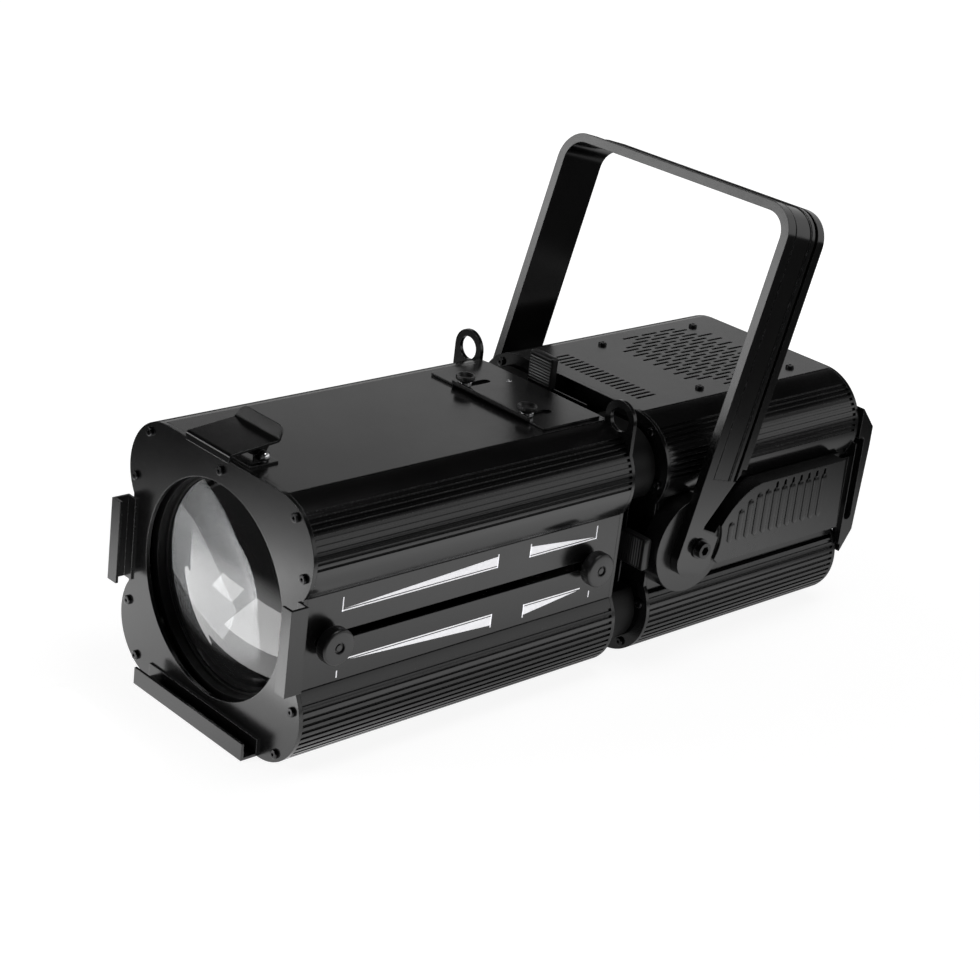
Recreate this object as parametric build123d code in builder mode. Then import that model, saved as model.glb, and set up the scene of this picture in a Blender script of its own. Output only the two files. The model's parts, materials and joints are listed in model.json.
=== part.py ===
from build123d import *
from math import cos, radians, sin
import os

# Zoom profile spotlight. X to the right, Y from the lens towards the rear, Z up, in mm.
# The origin is on the floor under the middle of the whole lamp.

# --- housing section, shared by barrel and lamp house -------------------------------
axis_z = 93.5            # height of the optical axis
half_h = 93.5            # flat top and bottom covers
side_x = 93.0            # recessed side panels
lobe_x = 60.8            # centre of each corner lobe
lobe_z = 54.5
lobe_r = 39.0
rail_wall = 4.0
rail_to = 82.0           # last angle of the lobe wall
barrel_rail_from = -34.0
lamp_rail_from = -25.5
groove_count = 10
upper_grooves = (0.0, 6.0)       # first angle and step
lower_grooves = (-21.6, 7.0)
groove_wide = 2.2
groove_deep = 1.5
cover_half = 65.3        # half width of top and bottom covers
barrel_panel_half = 32.2 # half height of the side panels
lamp_panel_half = 36.5
sheet = 2.0

# --- stations along Y ----------------------------------------------------------------
barrel_front = -267.5
barrel_back = 16.5
lamp_front = 49.5
lamp_back = 263.5
plate = 3.0
gap = 0.3                # air left between neighbouring pieces

# --- fasteners -----------------------------------------------------------------------
screw_head_r = 3.3
screw_head_h = 2.2
screw_r = 1.5
screw_hole_r = 1.8
boss_r = 4.4
corner_seats = [(78.6, 82.8), (91.6, 46.4)]

# --- lenses and zoom carriages --------------------------------------------------------
opening_r = 75.0
front_lens_r = 74.6
rear_lens_r = 62.0
ring_out_r = 81.0
rod_r = 4.0
rod_hole_r = 4.08
rod_x = 66.0
rod_z = 60.0
slot_wide = 6.6
slot_from = -255.5
slot_to = -2.5
knob_r = 12.5
knob_collar_r = 7.0
knob_in = 93.8
knob_disc_in = 98.7
knob_out = 107.4
stem_r = 3.0
stem_hole_r = 3.06
front_knob_y = -246.5
rear_knob_y = -13.5

# --- gate and shutters ------------------------------------------------------------------
gate_back = 46.5
gate_bore_r = 40.0
channel_half = 36.0
channel_floor = 50.0
bearing_r = 46.0
bearing_hole_r = 46.06
blade_half = 30.0
blade_thick = 1.2
blade_slot = 1.9
blade_len = 72.0
grip_len = 27.0
grip_half = 12.0
grip_thick = 7.0

# --- yoke ------------------------------------------------------------------------------
pivot_y = 77.5
pivot_z = 94.5
yoke_tilt = 15.3         # rests leaning to the rear
yoke_out = 115.5
yoke_thick = 6.8
yoke_high = 252.0
yoke_fore = 19.2         # arm edge ahead of the pivot
yoke_aft = 23.8
yoke_corner = 23.0
pivot_r = 5.0
pivot_hole_r = 5.06

# --- side covers, handles -----------------------------------------------------------------
disc_r = 36.4
disc_face = 108.4
leaf_face = 111.0

pieces = {}


def across(y):
    """Plane across the optical axis: local x is right, local y is up, its normal faces forward."""
    return Plane(origin=(0, y, axis_z), x_dir=(1, 0, 0), z_dir=(0, -1, 0))


def side(x):
    """Plane at x facing right: local x runs along Y, local y is height above the optical axis."""
    return Plane(origin=(x, 0, axis_z), x_dir=(0, 1, 0), z_dir=(1, 0, 0))


def level(z):
    """Horizontal plane at height z above the optical axis."""
    return Plane(origin=(0, 0, axis_z + z), x_dir=(1, 0, 0), z_dir=(0, 0, 1))


def flipped(sketch, sx, sz):
    """Copy of a sketch for the corner with the given signs."""
    if sx < 0:
        sketch = mirror(sketch, about=Plane.YZ, mode=Mode.PRIVATE)
    if sz < 0:
        sketch = mirror(sketch, about=Plane.XZ, mode=Mode.PRIVATE)
    return sketch


def lobed_outline(inset=0.0):
    """Outline of the housings: four corner lobes joined by flat sides."""
    with BuildSketch() as outline:
        Rectangle(2 * lobe_x, 2 * (half_h - inset))
        Rectangle(2 * (side_x - inset), 2 * lobe_z)
        with GridLocations(2 * lobe_x, 2 * lobe_z, 2, 2):
            Circle(lobe_r - inset)
    return outline.sketch


# Inner flange behind the side panel, for the barrel and for the lamp house.
barrel_flange = [(86.6, 26), (90, 26), (90, 33.4), (92.8, 33.4), (92.8, 44), (86.6, 44)]
lamp_flange = [(86.6, 26), (90, 26), (90, 37.6), (93.4, 40.4), (93.4, 44), (86.6, 44)]


def rail_profile(rail_from, flange, grooves):
    """Profile of the ribbed corner extrusion, drawn for the upper right corner."""
    first, step = grooves
    with BuildSketch() as profile:
        with BuildLine():
            outer = CenterArc((lobe_x, lobe_z), lobe_r, rail_from, rail_to - rail_from)
            inner = CenterArc((lobe_x, lobe_z), lobe_r - rail_wall, rail_from, rail_to - rail_from)
            Line(outer @ 0, inner @ 0)
            Line(outer @ 1, inner @ 1)
        make_face()
        for k in range(groove_count):
            turn = first + k * step
            spot = (lobe_x + lobe_r * cos(radians(turn)), lobe_z + lobe_r * sin(radians(turn)))
            with Locations(Location((spot[0], spot[1], 0), (0, 0, turn))):
                Rectangle(2 * groove_deep, groove_wide, mode=Mode.SUBTRACT)
        with Locations(*corner_seats):
            Circle(boss_r)
        with BuildLine():
            Polyline(*flange, close=True)
        make_face()
        with BuildLine():
            Polyline((46, 87.8), (46, 91.2), (67, 91.2), (67, 87.8), close=True)
        make_face()
        with Locations(*corner_seats):
            Circle(screw_r + 0.1, mode=Mode.SUBTRACT)
    return profile.sketch


def corner_rail(sx, sz, start, end, rail_from, flange, taps=()):
    """One ribbed corner extrusion between two stations, with tapped holes in its top flange."""
    profile = rail_profile(rail_from, flange, upper_grooves if sz > 0 else lower_grooves)
    with BuildPart() as rail:
        with BuildSketch(across(start)):
            add(flipped(profile, sx, sz))
        extrude(amount=start - end)
        if taps:
            with BuildSketch(level(half_h)):
                with Locations(*taps):
                    Circle(screw_r + 0.1)
            extrude(amount=-12, mode=Mode.SUBTRACT)
    return rail


def end_plate(y, hole_r, extra_seats=()):
    """Lobed plate with a round opening and its screw holes; y is the front face."""
    with BuildPart() as body:
        with BuildSketch(across(y)):
            add(lobed_outline())
            Circle(hole_r, mode=Mode.SUBTRACT)
            for sx in (1, -1):
                for sz in (1, -1):
                    with Locations(*[(sx * x, sz * z) for x, z in corner_seats]):
                        Circle(screw_hole_r, mode=Mode.SUBTRACT)
            if extra_seats:
                with Locations(*extra_seats):
                    Circle(screw_hole_r, mode=Mode.SUBTRACT)
        extrude(amount=-plate)
    return body


def flat_cover(z, start, end):
    """Plain top or bottom cover whose underside is z above the axis."""
    with BuildPart() as body:
        with BuildSketch(level(z)):
            with Locations((0, (start + end) / 2)):
                Rectangle(2 * cover_half, end - start)
        extrude(amount=sheet)
    return body


def side_panel(sx, start, end, half):
    """Recessed flat side panel."""
    with BuildPart() as body:
        with BuildSketch(side(side_x - sheet / 2 if sx > 0 else -side_x + sheet / 2)):
            with Locations(((start + end) / 2, 0)):
                Rectangle(end - start, 2 * half)
        extrude(amount=sheet / 2, both=True)
    return body


def turned(points):
    """Solid of revolution about the optical axis from (radius, y) points."""
    with BuildPart() as body:
        with BuildSketch(level(0)):
            with BuildLine():
                Polyline(*points, close=True)
            make_face()
        revolve(axis=Axis((0, 0, axis_z), (0, 1, 0)))
    return body


# One button-head socket screw, head up along Z, seated at the origin.
with BuildPart() as screw:
    with BuildSketch():
        Circle(screw_head_r)
    extrude(amount=screw_head_h)
    fillet(screw.edges().group_by(Axis.Z)[-1], 0.9)
    with BuildSketch(Plane.XY.offset(screw_head_h)):
        RegularPolygon(1.3, 6)
    extrude(amount=-1.1, mode=Mode.SUBTRACT)
    with BuildSketch():
        Circle(screw_r)
    extrude(amount=-6)


def facing(x, y, z, normal):
    """Seat for a screw at a point, its head towards the normal."""
    return Plane(origin=(x, y, z), z_dir=normal).location


def corner_screw_seats(y, normal):
    """Seats of the eight corner screws on a plate face at y."""
    signs = [(sx, sz) for sx in (1, -1) for sz in (1, -1)]
    return [facing(sx * x, y, axis_z + sz * z, normal) for sx, sz in signs for x, z in corner_seats]


top_seats = [(51, 128), (51, 230.5), (-51, 128), (-51, 230.5)]

# === barrel ===============================================================================
corners = {"upper_right": (1, 1), "upper_left": (-1, 1), "lower_right": (1, -1), "lower_left": (-1, -1)}
for where, (sx, sz) in corners.items():
    pieces[f"barrel_rail_{where}"] = corner_rail(
        sx, sz, barrel_front + plate, barrel_back - plate, barrel_rail_from, barrel_flange
    )
    taps = [(x, y) for x, y in top_seats if sz > 0 and x * sx > 0]
    pieces[f"lamp_rail_{where}"] = corner_rail(
        sx, sz, lamp_front + plate, lamp_back - plate, lamp_rail_from, lamp_flange, taps
    )

latch_seat = (0, 84.5)
pieces["barrel_front_plate"] = end_plate(barrel_front, opening_r, [latch_seat])

# Rear plate of the barrel with two lifting eyes for the safety cable.
eye_x = 79.5
eye_z = 98.8
eye_r = 14.0
eye_hole_r = 8.7
with BuildPart() as barrel_rear_plate:
    with BuildSketch(across(barrel_back - plate)):
        add(lobed_outline())
        with Locations((eye_x, eye_z), (-eye_x, eye_z)):
            Circle(eye_r)
        with Locations((eye_x, eye_z - 12), (-eye_x, eye_z - 12)):
            Rectangle(2 * eye_r, 24)
        Circle(64, mode=Mode.SUBTRACT)
        with Locations((eye_x, eye_z), (-eye_x, eye_z)):
            Circle(eye_hole_r, mode=Mode.SUBTRACT)
    extrude(amount=-plate)
pieces["barrel_rear_plate"] = barrel_rear_plate

# Top cover with the gate opening under the sliding access plate and two tapped holes.
access_left = -58.0
access_right = 62.0
access_front = -41.5
access_back = 13.2
thumb_spots = [(-26.5, -36.5), (38.0, -36.5)]
thumb_r = 3.0
thumb_head_r = 7.0
thumb_head_h = 4.5
thumb_under = 5.5        # underside of the head above the cover
access_travel = 20.0
with BuildPart() as barrel_top_cover:
    with BuildSketch(level(half_h - sheet)):
        with Locations((0, (barrel_front + barrel_back) / 2)):
            Rectangle(2 * cover_half, barrel_back - barrel_front - 2 * plate)
        with Locations((0, 1)):
            RectangleRounded(88, 14, 2, mode=Mode.SUBTRACT)
        with Locations(*thumb_spots):
            Circle(thumb_r + 0.1, mode=Mode.SUBTRACT)
    extrude(amount=sheet)
pieces["barrel_top_cover"] = barrel_top_cover
pieces["barrel_bottom_cover"] = flat_cover(-half_h, barrel_front + plate, barrel_back - plate)

# Right side panel carries the long slot of the two zoom knobs.
with BuildPart() as barrel_side_right:
    add(side_panel(1, barrel_front + plate, barrel_back - plate, barrel_panel_half).part)
    with BuildSketch(side(side_x)):
        with Locations(((slot_from + slot_to) / 2, 0)):
            SlotOverall(slot_to - slot_from, slot_wide)
    extrude(amount=-2 * sheet, mode=Mode.SUBTRACT)
pieces["barrel_side_right"] = barrel_side_right
pieces["barrel_side_left"] = side_panel(-1, barrel_front + plate, barrel_back - plate, barrel_panel_half)

# Sliding access plate: turned-up front lip and two slots that run along the thumb screws.
plate_under = half_h + gap
access_thick = 1.6
lip_left = -33.0
lip_right = 46.0
lip_high = 4.6
with BuildPart() as access_plate:
    with BuildSketch(level(plate_under)):
        with Locations(((access_left + access_right) / 2, (access_front + access_back) / 2)):
            RectangleRounded(access_right - access_left, access_back - access_front, 2)
        for x, y in thumb_spots:
            with Locations((x, y + access_travel / 2)):
                SlotCenterToCenter(access_travel + 1, 2 * thumb_r + 0.6, rotation=90, mode=Mode.SUBTRACT)
    extrude(amount=access_thick)
    with BuildSketch(side(lip_left)):
        with BuildLine():
            Polyline(
                (access_front - 1.5, plate_under + lip_high),
                (access_front, plate_under + lip_high),
                (access_front + 1.4, plate_under + access_thick),
                (access_front + 1.4, plate_under),
                (access_front, plate_under),
                (access_front - 1.5, plate_under + 2),
                close=True,
            )
        make_face()
    extrude(amount=lip_right - lip_left)
pieces["access_plate"] = access_plate

# Thumb screws: bright threaded stem and a dished round head.
with BuildPart() as thumb_screws:
    for x, y in thumb_spots:
        with BuildSketch(level(half_h - sheet)):
            with Locations((x, y)):
                Circle(thumb_r)
        extrude(amount=thumb_under + 3)
        with BuildSketch(level(half_h + thumb_under)):
            with Locations((x, y)):
                Circle(thumb_head_r)
        extrude(amount=thumb_head_h)
        with BuildSketch(level(half_h + thumb_under + thumb_head_h)):
            with Locations((x, y)):
                Circle(thumb_head_r - 1.8)
        extrude(amount=-2.0, mode=Mode.SUBTRACT)
pieces["thumb_screws"] = thumb_screws

# Colour-frame channels on three sides of the opening.
holder_front = -281.0
for where, sx in (("right", 1), ("left", -1)):
    with BuildPart() as holder:
        with BuildSketch(level(-30)):
            with BuildLine():
                Polyline(
                    (sx * 96.8, barrel_front),
                    (sx * 98.8, barrel_front),
                    (sx * 98.8, holder_front),
                    (sx * 89.0, holder_front),
                    (sx * 89.0, holder_front + 2),
                    (sx * 96.8, holder_front + 2),
                    close=True,
                )
            make_face()
        extrude(amount=60)
        with BuildSketch(across(barrel_front)):
            with Locations((sx * 90.9, 0)):
                Rectangle(3.8, 60)
            with Locations((sx * 94.8, 0)):
                Rectangle(8, 60)
        extrude(amount=1.4)
    pieces[f"frame_holder_{where}"] = holder
with BuildPart() as frame_holder_bottom:
    with BuildSketch(side(-61)):
        with BuildLine():
            Polyline(
                (barrel_front, -91),
                (barrel_front, -93),
                (holder_front, -93),
                (holder_front, -81),
                (holder_front + 2, -81),
                (holder_front + 2, -91),
                close=True,
            )
        make_face()
    extrude(amount=122)
    with BuildSketch(across(barrel_front)):
        with Locations((0, -86.5)):
            Rectangle(122, 11)
        Circle(76.5, mode=Mode.SUBTRACT)
    extrude(amount=1.4)
pieces["frame_holder_bottom"] = frame_holder_bottom

# Sprung top latch: bracket with hinge pin, and the bent plate with its thumb tab.
hinge_y = -252.0
hinge_z = 99.5
with BuildPart() as latch_bracket:
    with BuildSketch(level(half_h)):
        with Locations((0, hinge_y)):
            Rectangle(48, 22)
    extrude(amount=1.5)
    for sx in (1, -1):
        with BuildSketch(side(sx * 19)):
            with Locations((hinge_y, half_h + 4)):
                Rectangle(12, 7)
            with Locations((hinge_y, hinge_z)):
                Circle(4)
        extrude(amount=1.4 * sx)
    with BuildSketch(side(-22)):
        with Locations((hinge_y, hinge_z)):
            Circle(2)
    extrude(amount=44)
    for sx in (1, -1):
        with BuildSketch(side(sx * 20.7)):
            with Locations((hinge_y, hinge_z)):
                Circle(3.6)
        extrude(amount=2.2 * sx)
pieces["latch_bracket"] = latch_bracket
latch_top = 106.0
latch_half = 23.5
latch_ear = 17.0
latch_rise = 3.0         # the plate climbs this much towards its fold
fold_y = -241.0
with BuildPart() as latch:
    with BuildSketch(side(-latch_half)):
        with BuildLine():
            Polyline(
                (holder_front + 1, latch_top - 6),
                (holder_front + 2.6, latch_top - 6),
                (holder_front + 2.6, latch_top - 1.6),
                (fold_y + 0.6, latch_top + latch_rise - 1.6),
                (fold_y + 6.8, latch_top + latch_rise + 8.9),
                (fold_y + 5.4, latch_top + latch_rise + 9.7),
                (fold_y - 0.2, latch_top + latch_rise),
                (holder_front + 1, latch_top),
                close=True,
            )
        make_face()
    extrude(amount=2 * latch_half)
    for sx in (1, -1):
        with BuildSketch(side(sx * latch_ear)):
            with BuildLine():
                Polyline(
                    (holder_front + 10, latch_top - 0.2),
                    (fold_y - 1, latch_top + latch_rise - 0.9),
                    (hinge_y + 4.4, hinge_z - 2.5),
                    (hinge_y - 4.4, hinge_z - 2.5),
                    close=True,
                )
            make_face()
            with Locations((hinge_y, hinge_z)):
                Circle(4.2)
                Circle(2.06, mode=Mode.SUBTRACT)
        extrude(amount=1.5 * sx)
    with BuildSketch(level(latch_top + latch_rise + 1)):
        for sx in (1, -1):
            cut_x = sx * (latch_half + 1)
            with BuildLine():
                Polyline((cut_x, fold_y + 1), (cut_x, fold_y + 12), (sx * 17.5, fold_y + 12), close=True)
            make_face()
    extrude(amount=12, mode=Mode.SUBTRACT)
pieces["latch"] = latch

# Guide rods of the zoom carriages.
with BuildPart() as guide_rods:
    with BuildSketch(across(barrel_front + plate)):
        with Locations((-rod_x, rod_z), (rod_x, -rod_z)):
            Circle(rod_r)
    extrude(amount=-(barrel_back - barrel_front - 2 * plate))
pieces["guide_rods"] = guide_rods

front_seats = corner_screw_seats(barrel_front, (0, -1, 0))
front_seats.append(facing(latch_seat[0], barrel_front, axis_z + latch_seat[1], (0, -1, 0)))
with BuildPart() as barrel_screws:
    with Locations(*front_seats):
        add(screw.part)
pieces["barrel_screws"] = barrel_screws


def carriage(centre, half_width, bore_r, lip_r, seat_y):
    """Lens ring with two rod bosses and the tapped boss of its knob; the lens rests at seat_y."""
    with BuildPart() as ring:
        with BuildSketch(across(centre - half_width)):
            Circle(ring_out_r)
            for sx in (1, -1):
                with Locations((-sx * rod_x, sx * rod_z)):
                    Circle(8)
                with BuildLine():
                    Polyline((0, 0), (-sx * 72, sx * 52), (-sx * 58, sx * 66), close=True)
                make_face()
            with Locations((80, 0)):
                Rectangle(16, 18)
            Circle(lip_r, mode=Mode.SUBTRACT)
            with Locations((-rod_x, rod_z), (rod_x, -rod_z)):
                Circle(rod_hole_r, mode=Mode.SUBTRACT)
        extrude(amount=-2 * half_width)
        with BuildSketch(across(centre - half_width)):
            Circle(bore_r)
        extrude(amount=centre - half_width - seat_y, mode=Mode.SUBTRACT)
        with BuildSketch(side(88)):
            with Locations((centre, 0)):
                Circle(stem_hole_r)
        extrude(amount=-6.5, mode=Mode.SUBTRACT)
    return ring


def convex_lens(front, radius, edge, bulge):
    """Plano-convex lens, bulging forward; front is the y of its rim."""
    with BuildPart() as lens:
        with BuildSketch(level(0)):
            with BuildLine():
                ThreePointArc((0, front - bulge), (radius * 0.55, front - bulge * 0.705), (radius, front))
                Polyline((radius, front), (radius, front + edge), (0, front + edge), (0, front - bulge))
            make_face()
        revolve(axis=Axis((0, 0, axis_z), (0, 1, 0)))
    return lens


def knob(centre):
    """Round lock knob with its stem."""
    with BuildPart() as body:
        with BuildSketch(side(knob_disc_in)):
            with Locations((centre, 0)):
                Circle(knob_r)
        extrude(amount=knob_out - knob_disc_in)
        fillet(body.edges().filter_by(GeomType.CIRCLE).group_by(Axis.X)[-1], 2.0)
        with BuildSketch(side(knob_out)):
            with Locations((centre, 0)):
                Circle(3.6)
        extrude(amount=-1.6, mode=Mode.SUBTRACT)
        with BuildSketch(side(knob_in)):
            with Locations((centre, 0)):
                Circle(knob_collar_r)
        extrude(amount=knob_disc_in - knob_in)
        with BuildSketch(side(82.2)):
            with Locations((centre, 0)):
                Circle(stem_r)
        extrude(amount=knob_in - 82.2)
    return body


front_ring_half = 12.0
rear_ring_half = 8.0
front_seat_y = -244.5
rear_seat_y = -8.5
pieces["front_lens_ring"] = carriage(
    front_knob_y, front_ring_half, front_lens_r + 0.2, 71.0, front_seat_y
)
pieces["front_lens"] = convex_lens(front_seat_y - 6, front_lens_r, 6.0, 13.0)
pieces["front_knob"] = knob(front_knob_y)
pieces["rear_lens_ring"] = carriage(rear_knob_y, rear_ring_half, rear_lens_r + 0.2, 58.5, rear_seat_y)
pieces["rear_lens"] = convex_lens(rear_seat_y - 5, rear_lens_r, 5.0, 12.0)
pieces["rear_knob"] = knob(rear_knob_y)

# Gate body behind the barrel: lobed block with four channels and staggered blade slots.
grip_shift = {"top": -18.0}
shutters = {
    "top": (0, 1, 32.0, 112.0),
    "bottom": (0, -1, 28.6, 92.6),
    "left": (-1, 0, 25.8, 104.0),
    "right": (1, 0, 35.2, 104.0),
}
with BuildPart() as gate_body:
    with BuildSketch(across(barrel_back)):
        add(lobed_outline(9.5))
        Circle(gate_bore_r, mode=Mode.SUBTRACT)
        for dx, dz, _, _ in shutters.values():
            reach = (channel_floor + 100) / 2
            with Locations((dx * reach, dz * reach)):
                Rectangle(
                    100 - channel_floor if dx else 2 * channel_half,
                    100 - channel_floor if dz else 2 * channel_half,
                    mode=Mode.SUBTRACT,
                )
    extrude(amount=-(gate_back - barrel_back))
    with BuildSketch(across(gate_back - 8)):
        Circle(bearing_hole_r)
    extrude(amount=-8, mode=Mode.SUBTRACT)
    for dx, dz, y, _ in shutters.values():
        with BuildSketch(across(y - blade_slot / 2)):
            with Locations((dx * 40, dz * 40)):
                Rectangle(
                    30 if dx else 2 * blade_half + 1.2,
                    30 if dz else 2 * blade_half + 1.2,
                )
        extrude(amount=-blade_slot, mode=Mode.SUBTRACT)
pieces["gate_body"] = gate_body

for where, (dx, dz, y, tip) in shutters.items():
    with BuildPart() as shutter:
        middle = tip - grip_len - blade_len / 2
        with BuildSketch(across(y - blade_thick / 2)):
            with Locations((dx * (middle + 2), dz * (middle + 2))):
                Rectangle(blade_len + 4 if dx else 2 * blade_half, blade_len + 4 if dz else 2 * blade_half)
        extrude(amount=-blade_thick)
        reach = tip - grip_len / 2
        aside = grip_shift.get(where, 0.0)
        with BuildSketch(across(y - grip_thick / 2)):
            with Locations((dx * reach + aside, dz * reach)):
                Rectangle(grip_len if dx else 2 * grip_half, grip_len if dz else 2 * grip_half)
        extrude(amount=-grip_thick)
        for k in range(9):
            rib = tip - 3 - k * 2.5
            for face in (y - grip_thick / 2, y + grip_thick / 2 - 0.7):
                with BuildSketch(across(face)):
                    with Locations((dx * rib + aside, dz * rib)):
                        Rectangle(1.1 if dx else 2 * grip_half, 1.1 if dz else 2 * grip_half)
                extrude(amount=-0.7, mode=Mode.SUBTRACT)
    pieces[f"shutter_{where}"] = shutter

# === lamp house =============================================================================
tunnel_r = 44.0
tunnel_back = 124.0
pieces["lamp_front_plate"] = end_plate(lamp_front, tunnel_r + gap)
pieces["light_tunnel"] = turned(
    [
        (tunnel_r - 4, lamp_front - 10),
        (bearing_r, lamp_front - 10),
        (bearing_r, lamp_front),
        (tunnel_r, lamp_front),
        (tunnel_r, tunnel_back),
        (tunnel_r - 4, tunnel_back),
    ]
)

vent_y = 182.0
vent_pitch = 5.3
vent_slot = 17.0
fan_spot = (0, vent_y)
with BuildPart() as lamp_top_cover:
    with BuildSketch(level(half_h - sheet)):
        with Locations((0, (lamp_front + lamp_back) / 2)):
            Rectangle(2 * cover_half, lamp_back - lamp_front - 2 * plate)
        for k in range(18):
            with Locations((-45 + k * vent_pitch, 76.5)):
                SlotOverall(20, 2.4, rotation=90, mode=Mode.SUBTRACT)
        for k in range(-10, 11):
            x = k * vent_pitch
            shift = (k % 2) * vent_slot / 2
            for m in range(-3, 4):
                y = shift + m * (vent_slot + 4)
                if abs(x) + abs(y) < 78 and abs(y) < 50:
                    with Locations((x, vent_y + y)):
                        SlotOverall(vent_slot, 2.4, rotation=90, mode=Mode.SUBTRACT)
        with Locations(*top_seats):
            Circle(screw_hole_r, mode=Mode.SUBTRACT)
    extrude(amount=sheet)
pieces["lamp_top_cover"] = lamp_top_cover

with BuildPart() as lamp_bottom_cover:
    with BuildSketch(level(-half_h)):
        with Locations((0, (lamp_front + lamp_back) / 2)):
            Rectangle(2 * cover_half, lamp_back - lamp_front - 2 * plate)
        for k in range(17):
            with Locations((-42.4 + k * vent_pitch, 160)):
                SlotOverall(60, 2.4, rotation=90, mode=Mode.SUBTRACT)
    extrude(amount=sheet)
pieces["lamp_bottom_cover"] = lamp_bottom_cover

for where, sx in (("right", 1), ("left", -1)):
    with BuildPart() as lamp_side:
        add(side_panel(sx, lamp_front + plate, lamp_back - plate, lamp_panel_half).part)
        with BuildSketch(side(sx * (side_x - 2 * sheet))):
            with Locations((pivot_y, pivot_z - axis_z)):
                Circle(pivot_r + 0.2)
            with Locations((190, 8)):
                Rectangle(60, 34)
        extrude(amount=sx * 3 * sheet, mode=Mode.SUBTRACT)
    pieces[f"lamp_side_{where}"] = lamp_side

# Rear panel: openings for display, buttons, mains inlet and two data sockets.
button_spots = [(-30.0, 22.0), (-10.0, 22.0), (10.0, 22.0), (30.0, 22.0)]
button_r = 4.0
display_at = (0, 50)
inlet_at = (40, -45)
inlet_pins = [(33.5, -47), (40, -42), (46.5, -47)]
socket_spots = [(-50, -45), (-15, -45)]
with BuildPart() as lamp_rear_plate:
    with BuildSketch(across(lamp_back - plate)):
        add(lobed_outline())
        with Locations(display_at):
            RectangleRounded(62, 26, 2, mode=Mode.SUBTRACT)
        with Locations(*button_spots):
            Circle(button_r + 0.08, mode=Mode.SUBTRACT)
        with Locations(inlet_at):
            RectangleRounded(28, 20, 2, mode=Mode.SUBTRACT)
        with Locations(*socket_spots):
            Circle(12, mode=Mode.SUBTRACT)
        for sx in (1, -1):
            for sz in (1, -1):
                with Locations(*[(sx * x, sz * z) for x, z in corner_seats]):
                    Circle(screw_hole_r, mode=Mode.SUBTRACT)
    extrude(amount=-plate)
pieces["lamp_rear_plate"] = lamp_rear_plate

with BuildPart() as display:
    with BuildSketch(across(lamp_back - 8)):
        with Locations(display_at):
            Rectangle(72, 36)
    extrude(amount=-5)
    with BuildSketch(across(lamp_back - plate)):
        with Locations(display_at):
            RectangleRounded(61.4, 25.4, 1.8)
    extrude(amount=-(plate + 1.2))
    with BuildSketch(across(lamp_back + 1.2)):
        with Locations(display_at):
            Rectangle(50, 16)
    extrude(amount=0.8, mode=Mode.SUBTRACT)
pieces["display"] = display

for number, (x, z) in enumerate(button_spots, start=1):
    with BuildPart() as button:
        with BuildSketch(across(lamp_back - plate - 3.4)):
            with Locations((x, z)):
                Circle(5.6)
        extrude(amount=-3)
        with BuildSketch(across(lamp_back - plate - 0.6)):
            with Locations((x, z)):
                Circle(button_r)
        extrude(amount=-(plate + 0.6 + 3.2))
    pieces[f"button_{number}"] = button

with BuildPart() as mains_inlet:
    with BuildSketch(across(lamp_back)):
        with Locations(inlet_at):
            RectangleRounded(44, 28, 4)
    extrude(amount=-2.4)
    with BuildSketch(across(lamp_back - 26)):
        with Locations(inlet_at):
            RectangleRounded(27.4, 19.4, 2)
    extrude(amount=-26)
    with BuildSketch(across(lamp_back + 2.4)):
        with Locations(inlet_at):
            RectangleRounded(23, 15.4, 2)
    extrude(amount=18, mode=Mode.SUBTRACT)
    with BuildSketch(across(lamp_back - 15.6)):
        with Locations(*inlet_pins):
            Rectangle(1.6, 4.2)
    extrude(amount=-13)
pieces["mains_inlet"] = mains_inlet

with BuildPart() as data_sockets:
    for spot in socket_spots:
        with BuildSketch(across(lamp_back)):
            with Locations(spot):
                RectangleRounded(26, 31, 3)
        extrude(amount=-2.2)
        with BuildSketch(across(lamp_back - 22)):
            with Locations(spot):
                Circle(11.6)
        extrude(amount=-22)
        with BuildSketch(across(lamp_back + 2.2)):
            with Locations(spot):
                Circle(9.4)
        extrude(amount=14, mode=Mode.SUBTRACT)
        with BuildSketch(across(lamp_back - 11.8)):
            with Locations(spot):
                with PolarLocations(5, 3, start_angle=90):
                    Circle(1.2)
        extrude(amount=-10)
pieces["data_sockets"] = data_sockets

# Side guards behind the lamp house: thin root on the side panel, thick bar with a hand hole, inner wall.
lug_out = 281.0
lug_root = 3.0
lug_thick = 8.0
lug_start = lamp_back + 2.6
lug_step = 42.5          # clears the plate screws above and below this height
lug_wall = (75.0, 94.0, 274.4, 277.0)
hand_hole = (268.7, 12.5)
hand_hole_size = (8.6, 69.0)
for where, sx in (("right", 1), ("left", -1)):
    with BuildPart() as rear_lug:
        with BuildSketch(side(sx * (side_x + 0.2))):
            with Locations(((250.5 + lug_start) / 2 + 0.5, 0)):
                Rectangle(lug_start - 250.5 + 1, 60)
        extrude(amount=sx * lug_root)
        with BuildSketch(side(sx * (side_x + 0.2))):
            with BuildLine():
                Polyline(
                    (lamp_back + gap, -lug_step),
                    (lug_start, -lug_step),
                    (lug_start, -49.0),
                    (277.5, -32.0),
                    (lug_out, 38.0),
                    (lug_out, 54.0),
                    (lug_start, 71.0),
                    (lug_start, lug_step),
                    (lamp_back + gap, lug_step),
                    close=True,
                )
            make_face()
        extrude(amount=sx * lug_thick)
        with BuildSketch(side(sx * (side_x + 0.2))):
            with Locations(hand_hole):
                RectangleRounded(*hand_hole_size, 4.2)
        extrude(amount=sx * lug_thick, mode=Mode.SUBTRACT)
        x0, x1, y0, y1 = lug_wall
        with BuildSketch(level(-31)):
            with Locations((sx * (x0 + x1) / 2, (y0 + y1) / 2)):
                Rectangle(x1 - x0, y1 - y0)
        extrude(amount=31 + lug_step)
    pieces[f"rear_lug_{where}"] = rear_lug

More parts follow.
